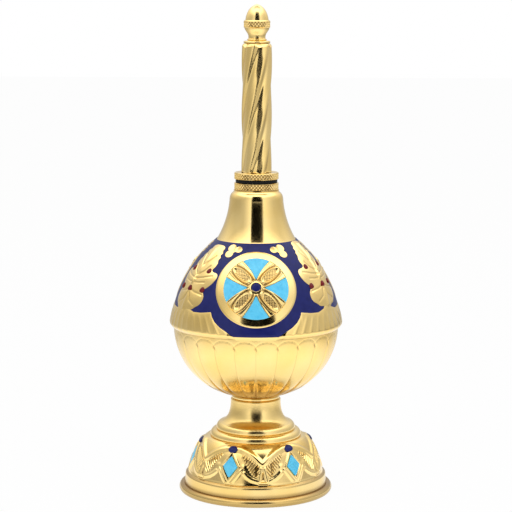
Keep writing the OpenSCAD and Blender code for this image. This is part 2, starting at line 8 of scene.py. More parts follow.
import bpy
import numpy as np
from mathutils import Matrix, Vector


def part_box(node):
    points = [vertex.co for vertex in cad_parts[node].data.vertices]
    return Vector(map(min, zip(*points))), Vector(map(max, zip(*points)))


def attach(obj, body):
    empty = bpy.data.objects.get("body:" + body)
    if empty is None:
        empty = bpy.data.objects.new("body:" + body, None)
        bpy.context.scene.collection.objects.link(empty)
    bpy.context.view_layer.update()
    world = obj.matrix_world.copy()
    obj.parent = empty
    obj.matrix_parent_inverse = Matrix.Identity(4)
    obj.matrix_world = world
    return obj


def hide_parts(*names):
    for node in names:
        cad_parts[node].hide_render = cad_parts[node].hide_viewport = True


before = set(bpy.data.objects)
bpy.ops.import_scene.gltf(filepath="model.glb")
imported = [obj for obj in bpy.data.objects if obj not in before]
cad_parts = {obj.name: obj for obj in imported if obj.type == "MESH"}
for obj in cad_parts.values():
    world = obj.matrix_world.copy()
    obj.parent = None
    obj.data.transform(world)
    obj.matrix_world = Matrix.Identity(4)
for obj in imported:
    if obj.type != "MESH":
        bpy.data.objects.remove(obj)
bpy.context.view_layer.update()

MM = 0.001


def low(node):
    """Height of a node's lowest point, in millimetres."""
    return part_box(node)[0].z / MM


def high(node):
    """Height of a node's highest point, in millimetres."""
    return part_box(node)[1].z / MM


def wide(node):
    """Greatest radius of a node, in millimetres."""
    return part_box(node)[1].x / MM


# The dome's flat top lies this far below the top of its solid
TOP_DROP = 0.9

# Heights of the stack in millimetres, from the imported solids
DOME_TOP = high("foot_dome") - TOP_DROP
RING_Z = low("base_ring")
BOWL_Z = high("base_ring")
RIM_Z = high("bowl_lower")
LIP_Z = low("bowl_upper")
EDGE_Z = high("shoulder_enamel")
NECK_Z = high("bowl_upper")
COLLAR_Z = high("neck_collar")
FLANGE_Z = high("neck_seal")
TUBE_Z = low("spout_tube")
TIP_Z = high("spout_tube")
CAP_Z = low("acorn_cap")
CAP_TOP = high("acorn_cap")
SCREW_Z = low("spout_flange")
SLEEVE_Z = low("neck_collar")
PLUG_Z = low("spout_tip")
NIPPLE_TOP = high("spout_tip")

# Radii in millimetres
FOOT_R = wide("foot_dome")
LOWER_RING_R = wide("stem")
BASE_RING_R = wide("base_ring")
COLLAR_R = wide("neck_collar")
SEAL_R = wide("neck_seal")
TUBE_R = wide("spout_tube")
TIP_R = wide("spout_tip")
BAND_R = wide("acorn_cap")

# Sizes that the solids share and that no box gives
SHEET = 1.0
BELLY_R = 36.5
LIP_H = 2.4
BELLY_Z = LIP_Z + LIP_H
EDGE_R = 17.0
NECK_R = 11.4
NECK_ROUND = 2.6
SHOULDER_CURVE = 57.0
NECK_CURVE = 40.0
LOWER_CURVE = 31.1
ENAMEL = 0.35

# How deep ornaments are rooted in what carries them
ROOT = 0.3

# Points closer than this are merged
WELD = 0.002


# Outlines

# A rounding takes at most this share of a side
CORNER_SHARE = 0.49


def arc_centre(a, b, radius):
    """Centre of an arc from a to b that lies to the left of the way between them."""
    half_x, half_z = (b[0] - a[0]) / 2, (b[1] - a[1]) / 2
    half = hypot(half_x, half_z)
    off = sqrt(radius * radius - half * half) / half
    return a[0] + half_x - off * half_z, a[1] + half_z + off * half_x


def arc(centre, radius, start, end, steps):
    """Points of an arc, with its angles in degrees."""
    turns = np.radians(np.linspace(start, end, steps + 1))
    return [(centre[0] + radius * cos(t), centre[1] + radius * sin(t)) for t in turns]


def arc_to(a, b, centre, steps):
    """Points of the shorter arc from a to b round a centre."""
    start = atan2(a[1] - centre[1], a[0] - centre[0])
    swing = (atan2(b[1] - centre[1], b[0] - centre[0]) - start + pi) % tau - pi
    radius = hypot(a[0] - centre[0], a[1] - centre[1])
    turns = start + swing * np.linspace(0, 1, steps + 1)
    return [(centre[0] + radius * cos(t), centre[1] + radius * sin(t)) for t in turns]


def round_turns(count):
    """Evenly spaced angles of a whole turn."""
    return np.linspace(0, tau, count + 1)[:-1]


def circle(radius, count):
    """Points of a circle."""
    return [(radius * cos(t), radius * sin(t)) for t in round_turns(count)]


def swell(a, b, pulls, steps):
    """Points of a cubic curve from a to b, its two control points given as shares of the way."""
    t = np.linspace(0, 1, steps + 1)[:, None]
    a, b = np.array(a, float), np.array(b, float)
    c, d = (a + (b - a) * np.array(p) for p in pulls)
    curve = (1 - t) ** 3 * a + 3 * (1 - t) ** 2 * t * c + 3 * (1 - t) * t * t * d + t ** 3 * b
    return [tuple(p) for p in curve]


def inset(path, depth):
    """A path moved to its left."""
    points = np.array(path, float)
    along = np.gradient(points, axis=0)
    along /= np.linalg.norm(along, axis=1)[:, None]
    return [tuple(p) for p in points + depth * np.stack([-along[:, 1], along[:, 0]], 1)]


def inside_of(path, depth):
    """The inner face of a wall, back along the path of its outer face."""
    return list(reversed(inset(path, depth)))


def line(a, b, steps):
    """Points on the straight way from a to b, without the first."""
    run, rise = b[0] - a[0], b[1] - a[1]
    return [(a[0] + run * k / steps, a[1] + rise * k / steps) for k in range(1, steps + 1)]


def upright(r, low_z, high_z, steps):
    """Points straight up at one radius."""
    return [(r, low_z)] + line((r, low_z), (r, high_z), steps)


def rounded(corners, steps=5):
    """A closed outline through (x, z) or (x, z, radius) corners, those with a radius rounded."""
    out = []
    count = len(corners)
    for i, corner in enumerate(corners):
        here = np.array(corner[:2], float)
        radius = corner[2] if len(corner) > 2 else 0
        back = np.array(corners[i - 1][:2]) - here
        on = np.array(corners[(i + 1) % count][:2]) - here
        back_l, on_l = np.linalg.norm(back), np.linalg.norm(on)
        if not radius:
            out.append(tuple(here))
            continue
        back, on = back / back_l, on / on_l
        half = acos(float(np.clip(back @ on, -1, 1))) / 2
        cut = min(radius / tan(half), CORNER_SHARE * back_l, CORNER_SHARE * on_l)
        middle = (back + on) / np.linalg.norm(back + on)
        centre = here + middle * cut / cos(half)
        out += arc_to(tuple(here + back * cut), tuple(here + on * cut), tuple(centre), steps)
    return out


def flowing(points, steps):
    """A closed smooth curve through points."""
    p = np.array(points, float)
    before, after, last = np.roll(p, 1, 0), np.roll(p, -1, 0), np.roll(p, -2, 0)
    t = (np.arange(steps) / steps)[None, :, None]
    a, b, c, d = (q[:, None] for q in (before, p, after, last))
    curve = 2 * b + (c - a) * t + (2 * a - 5 * b + 4 * c - d) * t ** 2 + (3 * b - a - 3 * c + d) * t ** 3
    return (curve / 2).reshape(-1, 2)


def mirrored(half):
    """Both halves of an outline that is drawn as its right half, from top to bottom."""
    return half + [(-x, y) for x, y in reversed(half) if x > 0]


# Distances on a drawn plane

FAR = 1e9
TINY = 1e-12


def away(x, y, path, closed=False):
    """Distance of each point from a drawn path."""
    ends = list(path[1:]) + ([path[0]] if closed else [])
    best = np.full(np.shape(x), FAR)
    for (ax, ay), (bx, by) in zip(path, ends):
        dx, dy = bx - ax, by - ay
        t = np.clip(((x - ax) * dx + (y - ay) * dy) / (dx * dx + dy * dy + TINY), 0, 1)
        best = np.minimum(best, (x - ax - t * dx) ** 2 + (y - ay - t * dy) ** 2)
    return np.sqrt(best)


def bump(distance, width):
    """A soft ridge: 1 on its line, and about a third of that a width away."""
    return np.exp(-(distance / width) ** 2)


def ease(x):
    """A smooth step from 0 to 1."""
    t = np.clip(x, 0, 1)
    return t * t * (3 - 2 * t)


def dome(square):
    """Height of a unit dome at the square of the distance from its middle."""
    return np.sqrt(np.clip(1 - square, 0, 1))


def around(r, turn, z):
    """Points at a radius, a turn in radians from the front, and a height."""
    return np.stack([r * np.sin(turn), -r * np.cos(turn), z], -1)


# Making pieces

def deselect():
    bpy.ops.object.select_all(action="DESELECT")


def close_up(piece, crease):
    """Merges seams and poles, points the faces outwards and shades them."""
    bpy.ops.object.mode_set(mode="EDIT")
    bpy.ops.mesh.select_all(action="SELECT")
    bpy.ops.mesh.remove_doubles(threshold=WELD * MM)
    bpy.ops.mesh.normals_make_consistent(inside=False)
    bpy.ops.object.mode_set(mode="OBJECT")
    bpy.ops.object.shade_smooth_by_angle(angle=radians(crease))
    return piece


def turned(name, outline, steps=128, crease=32):
    """A piece turned on the lathe: a closed outline of (radius, height) spun round the axis."""
    deselect()
    bpy.ops.mesh.primitive_circle_add(vertices=len(outline), radius=1)
    piece = bpy.context.object
    piece.name = piece.data.name = name
    for vertex, (r, z) in zip(piece.data.vertices, outline):
        vertex.co = (0, -max(r, 0) * MM, z * MM)
    bpy.ops.object.mode_set(mode="EDIT")
    bpy.ops.mesh.select_all(action="SELECT")
    bpy.ops.mesh.spin(steps=steps, angle=tau, center=(0, 0, 0), axis=(0, 0, 1))
    bpy.ops.object.mode_set(mode="OBJECT")
    return close_up(piece, crease)


def grid(name, across, up, place, crease=40):
    """A net of faces moved to place(u, v), which gives points in millimetres and how much each is darkened.
    """
    deselect()
    bpy.ops.mesh.primitive_grid_add(x_subdivisions=across, y_subdivisions=up, size=1)
    piece = bpy.context.object
    piece.name = piece.data.name = name
    flat = np.empty(3 * len(piece.data.vertices))
    piece.data.vertices.foreach_get("co", flat)
    u, v = flat.reshape(-1, 3)[:, :2].T + 0.5
    points, recess = place(u, v)
    piece.data.vertices.foreach_set("co", np.ascontiguousarray(points * MM).ravel())
    layer = piece.data.attributes.new("recess", "FLOAT", "POINT")
    layer.data.foreach_set("value", np.ascontiguousarray(np.clip(recess, 0, 1), dtype=np.float32))
    piece.data.update()
    return close_up(piece, crease)


def wrapped(name, outer, inner, columns, relief, crease=40):
    """A chased shell: a closed outline wrapped round the axis, with relief on its outer part."""
    loop = np.array(list(outer) + list(inner), float)
    ahead, behind = np.roll(loop, -1, 0), np.roll(loop, 1, 0)
    along = ahead - behind
    along /= np.linalg.norm(along, axis=1)[:, None] + TINY
    area = np.sum(loop[:, 0] * ahead[:, 1] - ahead[:, 0] * loop[:, 1])
    out = np.stack([along[:, 1], -along[:, 0]], 1) * np.sign(area)
    rows = len(loop)

    def place(u, v):
        k = np.rint(v * rows).astype(int) % rows
        turn = u * tau
        r, z = loop[k].T
        height, recess = (np.where(k < len(outer), value, 0.0) for value in relief(np.degrees(turn), r, z))
        r = np.maximum(r + out[k, 0] * height, 0)
        z = z + out[k, 1] * height
        return around(r, turn, z), recess

    return grid(name, columns, rows, place, crease)


# The shoulder's surface, on which the ornament is set

SHOULDER_C = arc_centre((BELLY_R, BELLY_Z), (EDGE_R, EDGE_Z), SHOULDER_CURVE)
NECK_TOP = NECK_Z - NECK_ROUND
NECK_C = arc_centre((NECK_R, NECK_TOP), (EDGE_R, EDGE_Z), NECK_CURVE)
SETTLE_STEPS = 24


def shoulder_r(z):
    """Radius of the shoulder at a height."""
    return SHOULDER_C[0] + np.sqrt(SHOULDER_CURVE ** 2 - (z - SHOULDER_C[1]) ** 2)


def shoulder_lean(z):
    """How far the shoulder's surface faces upwards at a height, in radians."""
    return np.arcsin((z - SHOULDER_C[1]) / SHOULDER_CURVE)


def set_on(turn, z, x, y, height):
    """Points drawn at x, y on a plane that touches the shoulder at z, laid on it and raised by height."""
    lean = shoulder_lean(z)
    r = shoulder_r(z)
    w = np.zeros(np.shape(x))
    for _ in range(SETTLE_STEPS):
        back = -r + y * sin(lean) - w * cos(lean)
        rise = z + y * cos(lean) + w * sin(lean)
        over = np.hypot(np.hypot(x, back) - SHOULDER_C[0], rise - SHOULDER_C[1]) - SHOULDER_CURVE
        w = w - (over - height)
    a = radians(turn)
    return np.stack([x * cos(a) - back * sin(a), x * sin(a) + back * cos(a), rise], -1)


def ring_shares(rings):
    """Shares of the way from an ornament's middle to its edge, then down to its root and back."""
    return np.append(np.sin(np.linspace(0, pi / 2, rings + 1)), [1.0, 0.0])


def boss(name, turn, z, outline, height, rings, centre=(0, 0), root=ROOT, lean=0.0):
    """A raised ornament with its own outline, laid on the shoulder and rooted below its surface."""
    edge = np.array(outline, float)
    spokes = len(edge)
    shares = ring_shares(rings)
    rows = rings + 2

    def place(u, v):
        k = np.rint(v * rows).astype(int)
        column = np.rint(u * spokes).astype(int) % spokes
        x = centre[0] + shares[k] * (edge[column, 0] - centre[0])
        y = centre[1] + shares[k] * (edge[column, 1] - centre[1])
        inside = away(x, y, edge, closed=True)
        up, recess = height(x, y, np.where(k < rings, inside, 0.0))
        up = np.where(k > rings, -root, up)
        return set_on(turn, z, x + lean * y, y, up), recess

    return grid(name, spokes, rows, place, crease=45)


def joined(name, pieces):
    """Several pieces made one."""
    deselect()
    for piece in pieces:
        piece.select_set(True)
    bpy.context.view_layer.objects.active = pieces[0]
    bpy.ops.object.join()
    pieces[0].name = pieces[0].data.name = name
    return pieces[0]


# Finishes

class Wire:
    """A socket's value in a finish, for sums written in Python."""

    def __init__(self, tree, socket=None):
        self.tree, self.socket = tree, socket

    def add(self, kind, settings=None, sockets=None, out=0):
        """A new node with its settings made first, then its sockets filled or linked."""
        node = self.tree.nodes.new(kind)
        for name, value in (settings or {}).items():
            if name == "stops":
                ramp = node.color_ramp
                while len(ramp.elements) < len(value):
                    ramp.elements.new(1.0)
                for element, (place, colour) in zip(ramp.elements, value):
                    element.position, element.color = place, colour
            else:
                setattr(node, name, value)
        for key, value in (sockets or {}).items():
            if isinstance(value, Wire):
                self.tree.links.new(value.socket, node.inputs[key])
            else:
                node.inputs[key].default_value = value
        return Wire(self.tree, node.outputs[out]) if len(node.outputs) else node

    def math(self, operation, *values):
        return self.add("ShaderNodeMath", {"operation": operation}, dict(enumerate(values)))

    def __add__(self, other):
        return self.math("ADD", self, other)

    def __sub__(self, other):
        return self.math("SUBTRACT", self, other)

    def __rsub__(self, other):
        return self.math("SUBTRACT", other, self)

    def __mul__(self, other):
        return self.math("MULTIPLY", self, other)

    __radd__, __rmul__ = __add__, __mul__

    def blend(self, a, b):
        """Colour a where this is 0, and b where it is 1."""
        return self.add("ShaderNodeMix", {"data_type": "RGBA"}, {0: self, 6: a, 7: b}, 2)


def emptied(holder):
    """A material's or world's node tree with nothing in it, as a wire to build from."""
    holder.use_nodes = True
    holder.node_tree.nodes.clear()
    return Wire(holder.node_tree)


def finish(name, build, **shader):
    """A material whose shader takes fixed values from shader and linked ones from build."""
    material = bpy.data.materials.new(name)
    start = emptied(material)
    links = {key.replace("_", " "): value for key, value in shader.items()}
    links.update(build(start))
    surface = start.add("ShaderNodeBsdfPrincipled", None, links)
    start.add("ShaderNodeOutputMaterial", None, {"Surface": surface})
    return material


def object_place(start):
    """Object coordinates."""
    return start.add("ShaderNodeTexCoord", out="Object")


def noise(start, place, scale, detail=3.0):
    """Soft noise from 0 to 1."""
    return start.add("ShaderNodeTexNoise", None, {"Vector": place, "Scale": scale, "Detail": detail})


def spread(start, value, a, b, c, d):
    """A value taken from the range a to b into the range c to d."""
    return start.add("ShaderNodeMapRange", None, {0: value, 1: a, 2: b, 3: c, 4: d})


def stretched(start, place, scale):
    """Object coordinates stretched by a scale for each axis."""
    return start.add("ShaderNodeMapping", None, {"Vector": place, "Scale": scale})


def bumped(start, height, strength, distance):
    """The surface's normal, tilted by a height."""
    return start.add("ShaderNodeBump", None, {"Strength": strength, "Distance": distance, "Height": height})


GOLD = (0.93, 0.65, 0.215, 1)
GOLD_PALE = (0.95, 0.72, 0.315, 1)
# Brown of patina in the hollows, also laid on the foot's rim and skirt and the bowl's base as a painted dark
# reflection
PATINA_AND_DARK_REFLECTION = (0.22, 0.11, 0.03, 1)
# How fine the gold's marks are: clouds of tone, dents, smears, scratches and lathe rings
CLOUDS = 55.0
DENTS = 130.0
SMEARS = 160.0
SCRATCHES = 900.0
LATHE_RINGS = 5200.0


def gold(name, body, pale, polish, lathe=0.0, darkest=0.75):
    """Gilt brass: slow changes of tone, patina in the hollows with a painted dark reflection where the relief
    asks, fine wear and, if turned, lathe rings.
    """
    def build(start):
        place = object_place(start)
        cloud = noise(start, place, CLOUDS)
        tone = spread(start, cloud, 0.3, 0.7, 0.0, 1.0).blend(body, pale)
        recess = start.add("ShaderNodeAttribute", {"attribute_name": "recess"}, out=2)
        # Patina in the hollows, and a painted dark reflection where the relief asks, from the same mask
        patina_and_reflection = spread(start, recess, 0.35, 1.0, 0.0, darkest)
        smear = noise(start, stretched(start, place, (1.0, 1.0, 0.35)), SMEARS, 4.0)
        scratch = noise(start, stretched(start, place, (1.0, 0.2, 3.0)), SCRATCHES, 2.0)
        rough = spread(start, smear, 0.3, 0.75, polish, polish + 0.10) + patina_and_reflection * 0.2
        rings = noise(start, stretched(start, place, (0.02, 0.02, 1.0)), LATHE_RINGS, 2.0)
        relief = scratch * 0.25 + rings * lathe + noise(start, place, DENTS) * 0.9
        return {"Base Color": patina_and_reflection.blend(tone, PATINA_AND_DARK_REFLECTION), "Roughness": rough,
                "Normal": bumped(start, relief, 0.12, 0.00016)}

    return finish(name, build, Metallic=1.0)


# How fine the enamel's marks are: clouds of colour, pits, and the skin's long and short waves
GLASS_CLOUDS = 420.0
PITS = 1500.0
WAVES = (260.0, 1400.0)


def enamel(name, deep, pale, rough):
    """Fired glass colour: cloudy depth, tiny pits and a clear glossy skin."""
    def build(start):
        place = object_place(start)
        cloud = noise(start, place, GLASS_CLOUDS, 4.0)
        pits = start.add("ShaderNodeTexVoronoi", None, {"Vector": place, "Scale": PITS})
        speck = spread(start, pits, 0.05, 0.14, 0.35, 0.0)
        depth = spread(start, cloud, 0.32, 0.68, 0.0, 1.0).blend(deep, pale)
        wave = noise(start, place, WAVES[0]) + noise(start, place, WAVES[1]) * 0.25
        return {"Base Color": speck.blend(depth, deep),
                "Roughness": spread(start, cloud, 0.3, 0.7, rough, rough + 0.12),
                "Normal": bumped(start, wave, 0.18, 0.0002)}

    return finish(name, build, Coat_Weight=0.05, Coat_Roughness=0.12, Specular_IOR_Level=0.22)


SOOT = (0.004, 0.004, 0.005, 1)
BLOOM = (0.014, 0.014, 0.014, 1)
BLOOMS = 380.0
MOULD_GRAIN = 2600.0


def rubber(name):
    """Black rubber with a dull bloom and moulding grain."""
    def build(start):
        place = object_place(start)
        bloom = noise(start, place, BLOOMS, 4.0)
        return {"Base Color": spread(start, bloom, 0.35, 0.8, 0.0, 1.0).blend(SOOT, BLOOM),
                "Roughness": spread(start, bloom, 0.3, 0.7, 0.40, 0.58),
                "Normal": bumped(start, noise(start, place, MOULD_GRAIN), 0.3, 0.0001)}

    return finish(name, build, Specular_IOR_Level=0.12)


ZINC_DARK = (0.42, 0.42, 0.41, 1)
ZINC_PALE = (0.62, 0.61, 0.58, 1)
ZINC_CLOUDS = 300.0
TURNING_MARKS = 4200.0


def steel(name):
    """Plain zinc-dulled steel with turning marks."""
    def build(start):
        place = object_place(start)
        cloud = noise(start, place, ZINC_CLOUDS, 4.0)
        rings = noise(start, stretched(start, place, (0.05, 0.05, 1.0)), TURNING_MARKS)
        return {"Base Color": cloud.blend(ZINC_DARK, ZINC_PALE),
                "Roughness": spread(start, cloud, 0.3, 0.7, 0.26, 0.42),
                "Normal": bumped(start, rings, 0.25, 0.0001)}

    return finish(name, build, Metallic=1.0)


POLISHED = gold("polished_gold", GOLD, GOLD_PALE, polish=0.09)
CHASED = gold("chased_gold", GOLD, GOLD_PALE, polish=0.10, darkest=0.88)
SATIN = gold("satin_gold", GOLD, GOLD_PALE, polish=0.15)
TURNED = gold("turned_gold", GOLD_PALE, GOLD, polish=0.17, lathe=1.1)
KNURLED = gold("knurled_gold", GOLD_PALE, GOLD, polish=0.16, darkest=0.97)
NAVY = enamel("navy_enamel", (0.0045, 0.0085, 0.105, 1), (0.007, 0.012, 0.130, 1), rough=0.30)
SKY = enamel("sky_enamel", (0.095, 0.57, 0.90, 1), (0.14, 0.65, 0.95, 1), rough=0.25)
RED = enamel("red_enamel", (0.13, 0.004, 0.008, 1), (0.19, 0.008, 0.012, 1), rough=0.22)
RUBBER = rubber("black_rubber")
STEEL = steel("plain_steel")


def dress(piece, material, body, slot, *nodes):
    """Gives a piece its finish, the body it moves with and the solids it stands for."""
    piece.data.materials.clear()
    piece.data.materials.append(material)
    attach(piece, body)
    if nodes:
        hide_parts(*nodes)


# Foot

FOOT_REPEATS = 6
REPEAT = 360 / FOOT_REPEATS
FOOT_TURN = 36.6
FOOT_COLUMNS = 798
# The rolled rim, the plain skirt with its rounded upper edge, and the dome
ROLL_R = 1.8
ROLL_Z = 1.61
SKIRT_R = 30.9
SKIRT_FOOT = [(30.78, 3.6), (30.74, 4.3)]
SKIRT_TOP_R = 30.5
SKIRT_H = 8.0
SKIRT_EDGE = ((-0.06, -0.25), (-0.3, 0.08), (-0.75, 0.32))
DOME_R = 29.2
DOME_Z = 8.9
DOME_TOP_R = 20.7
DOME_PULLS = ((0.16, 0.36), (0.50, 0.93))
DOME_ROWS = 84
FOOT_HOLE_R = 12.05
DIAMOND_Z = 15.8
DOT_Z = 22.4

# The foot's ornament is drawn beside a diamond: degrees from its middle, and height
ARCH = [(0, 23.2), (8, 22.9), (15, 21.9), (20, 20.7), (24, 19.4), (27.5, 18.0), (30, 17.2)]
LOW_LEAF = [(25.0, 10.4), (20.0, 11.2), (16.0, 12.4), (13.4, 13.6)]
BLADE = [(26.2, 10.4), (27.2, 12.8), (28.6, 15.6)]
LUMP = (12.6, 15.9)
WING_TOP = [(10, 21.0), (16, 19.8), (22.4, 17.8), (27.6, 16.0)]
WING_LOW = [(10, 19.8), (13, 18.0), (16.5, 15.8), (19.5, 13.8), (22.6, 11.9), (25.6, 12.2), (27.6, 13.8)]
WING_FROM = 9.6
WING_TO = 25.6
WING_TO_Z = 10.4
WING_FLARE = 0.52
CUP_FROM = 25.6
CUP_LOW, CUP_HIGH = 8.6, 10.5
CUP_SIDE_Z, CUP_FLARE = 10.2, 0.4
WEDGE_FROM = 28.5
WEDGE_LOW, WEDGE_HIGH = 10.6, 14.8
WEDGE_SIDE_Z, WEDGE_FLARE = 10.8, 0.30
# Raised straps: path, width and height
STRAPS = ((ARCH, 1.9, 0.62), (LOW_LEAF, 1.7, 0.42), (BLADE, 1.2, 0.48))
# Two frames round a diamond, the outer one open at its top: share of the diamond, width and height
LOZENGE = (7.0, 4.8)
FRAME_AT, FRAME_W, FRAME_UP = 1.22, 0.18, 0.42
OUTER_AT, OUTER_W, OUTER_UP = 1.68, 0.26, 0.50
OUTER_TOP = 16.4
# Feathers of a wing: pitch, the way they run, height and how far the wing is sunk
RIB_PITCH = 1.2
RIB_RUN = (0.84, 0.54)
RIB_UP = 0.80
WING_SUNK = 0.34
LUMP_R, LUMP_UP = 1.4, 0.32
CUP_UP = 0.68
WEDGE_SUNK = 0.30
SEAT_SUNK = 0.05
GROUND_SUNK = 0.08
# The dome's mean slope, and the least radius at which the ornament is drawn
SLOPE = 1.15
DRAWN_R = 18.0
# Darkening of rim and skirt, partly tarnish and partly a painted dark reflection of the surroundings: height,
# and how deep
RIM_TARNISH_AND_REFLECTION = ((0.0, 0.66), (2.4, 0.60), (3.3, 0.92), (4.1, 0.80), (5.2, 0.44), (7.4, 0.44), (8.3, 0.85),
           (8.9, 0.40))
GROUND_TARNISH = 0.5


def foot_relief(angle, r, z):
    """Embossing of the dome, and the darkening of the rim and skirt below it, partly tarnish and partly a
    painted dark reflection.

    It has arches with feathered wings, diamond frames, low leaves and palmettes.
    """
    a = np.abs((angle - FOOT_TURN + REPEAT / 2) % REPEAT - REPEAT / 2)
    share = pi / 180 * np.maximum(r, DRAWN_R)
    x, y = a * share, z * SLOPE

    def strap(path, width):
        """A raised strap that swells softly to its middle."""
        gap = away(x, y, [(turn * share, height * SLOPE) for turn, height in path])
        return 0.5 + 0.5 * np.cos(pi * np.clip(gap / width, 0, 1))

    def along(path):
        """Height of a drawn path at each angle."""
        return np.interp(a, *zip(*path))

    wing = ease((along(WING_TOP) + 0.3 - z) / 0.6) * ease((z - along(WING_LOW) + 0.3) / 0.6)
    outer_side = WING_TO + np.maximum(z - WING_TO_Z, 0) * WING_FLARE
    wing = wing * ease((a - WING_FROM) / 1.2) * ease((outer_side - a) / 0.8)
    rib = 0.5 + 0.5 * np.cos(tau * (RIB_RUN[0] * x - RIB_RUN[1] * y) / RIB_PITCH)
    height = wing * (RIB_UP * rib - WING_SUNK)
    for path, width, tall in STRAPS:
        height = np.maximum(height, tall * strap(path, width))
    lozenge = a / LOZENGE[0] + np.abs(z - DIAMOND_Z) / LOZENGE[1]
    height = np.maximum(height, FRAME_UP * bump(lozenge - FRAME_AT, FRAME_W))
    height = np.maximum(height, OUTER_UP * bump(lozenge - OUTER_AT, OUTER_W) * ease((OUTER_TOP - z) / 2.0))
    lump = np.hypot(x - LUMP[0] * share, y - LUMP[1] * SLOPE)
    height = np.maximum(height, LUMP_UP * bump(lump, LUMP_R))
    cup = ease(a - CUP_FROM + (CUP_SIDE_Z - z) * CUP_FLARE)
    cup = cup * ease((CUP_HIGH - z) / 0.8) * ease((z - CUP_LOW) / 0.8)
    height = np.maximum(height, CUP_UP * cup)
    wedge = ease((a - WEDGE_FROM - (z - WEDGE_SIDE_Z) * WEDGE_FLARE) / 0.7)
    wedge = wedge * ease((WEDGE_HIGH - z) / 1.2) * ease((z - WEDGE_LOW) / 0.5)
    height = height * (1 - wedge) - WEDGE_SUNK * wedge
    seat = ease((1.0 - lozenge) / 0.1)
    height = height * (1 - seat) - SEAT_SUNK * seat
    fade = ease((z - DOME_Z - 0.05) / 0.7) * ease((DOME_TOP - 0.1 - z) / 0.5)
    recess = np.maximum(wing * (1.15 - 1.3 * rib) * ease((0.4 - height) / 0.3), 0.9 * wedge)
    recess = np.maximum(recess, GROUND_TARNISH * ease((0.3 - height) / 0.3))
    # Below the dome the rim and skirt are darkened as listed, partly tarnish and partly a painted dark
    # reflection
    tarnish_and_reflection = np.interp(z, *zip(*RIM_TARNISH_AND_REFLECTION))
    return (height - GROUND_SUNK) * fade, np.where(z > DOME_Z, np.clip(recess, 0, 1) * fade, tarnish_and_reflection)


dome_path = swell((DOME_R, DOME_Z), (DOME_TOP_R, DOME_TOP), DOME_PULLS, DOME_ROWS)
foot_outer = [(FOOT_R - 2.6, 0.0), (FOOT_R - 1.0, 0.0)]
foot_outer += arc((FOOT_R - ROLL_R, ROLL_Z), ROLL_R, -62, 109, 14)[1:]
foot_outer += SKIRT_FOOT
foot_outer += line(SKIRT_FOOT[-1], (SKIRT_TOP_R + 0.03, SKIRT_H - 0.6), 4)
foot_outer += [(SKIRT_TOP_R + x, SKIRT_H + z) for x, z in SKIRT_EDGE]
foot_outer += [(DOME_R + 0.12, DOME_Z - 0.35)]
foot_outer += dome_path
foot_outer += [(DOME_TOP_R - 0.6, DOME_TOP), (FOOT_HOLE_R, DOME_TOP)]
foot_inner = [(FOOT_HOLE_R, DOME_TOP - SHEET)]
foot_inner += inside_of(dome_path[::14], SHEET)
foot_inner += [(SKIRT_TOP_R - SHEET, SKIRT_H), (SKIRT_R - SHEET, 1.7), (FOOT_R - 3.2, 1.0)]
dress(wrapped("gilt_foot", foot_outer, foot_inner, FOOT_COLUMNS, foot_relief),
      CHASED, "vessel", "polished_gold", "foot_dome")

dome_r, dome_z = np.array(dome_path).T
dome_length = np.append(0, np.cumsum(np.hypot(np.diff(dome_r), np.diff(dome_z))))
LEAN_STEP = 0.3


def dome_point(angle, length, height):
    """Points on the dome at an angle from the front and a length up its slope, raised above its surface."""
    def at(step):
        return (np.interp(length + step, dome_length, values) for values in (dome_r, dome_z))

    r, z = at(0.0)
    ahead_r, ahead_z = at(LEAN_STEP)
    behind_r, behind_z = at(-LEAN_STEP)
    lean = np.arctan2(behind_r - ahead_r, ahead_z - behind_z)
    return around(r + height * np.cos(lean), np.radians(angle), z + height * np.sin(lean))


def foot_gem(name, turn, z, outline, crown, rise, rings=8):
    """A small enamel filling on the dome, domed by crown."""
    edge = np.array(outline, float)
    spokes, rows = len(edge), rings + 2
    shares = ring_shares(rings)
    r_mid = float(np.interp(z, dome_z, dome_r))
    middle = float(np.interp(z, dome_z, dome_length))

    def place(u, v):
        k = np.rint(v * rows).astype(int)
        column = np.rint(u * spokes).astype(int) % spokes
        x, y = (edge[column] * shares[k][:, None]).T
        up = np.where(k > rings, -ROOT, rise + crown * (1 - shares[k] ** 2))
        return dome_point(turn + np.degrees(x / r_mid), middle + y, up), np.zeros(len(u))

    return grid(name, spokes, rows, place, crease=50)


# A diamond's corners with their rounding, and a dot's half width, half height and skew
CORNERS = [(0, 4.8, 0.5), (-3.3, 0.1, 0.6), (0, -4.7, 0.5), (3.3, 0.1, 0.6)]
DOT_W, DOT_L, DOT_SKEW = 2.0, 1.5, 0.25
DOT_TURN = -0.3
diamond = rounded(CORNERS, 6)
diamond = [p for a, b in zip(diamond, diamond[1:] + diamond[:1]) for p in [a] + line(a, b, 3)[:-1]]
dot = [(DOT_W * cos(t) - DOT_SKEW * sin(t), DOT_L * sin(t) + DOT_SKEW * cos(t)) for t in round_turns(40)]
foot_turns = [FOOT_TURN + REPEAT * k for k in range(FOOT_REPEATS)]
diamonds = [foot_gem("diamond", t, DIAMOND_Z, diamond, crown=0.10, rise=0.22) for t in foot_turns]
dress(joined("sky_diamonds", diamonds), SKY, "vessel", "sky_enamel", "foot_diamonds")
dots = [foot_gem("dot", t + DOT_TURN, DOT_Z, dot, crown=0.30, rise=0.60) for t in foot_turns]
dress(joined("navy_dots", dots), NAVY, "vessel", "navy_enamel", "foot_dots")

# Stem and the ring under the bowl

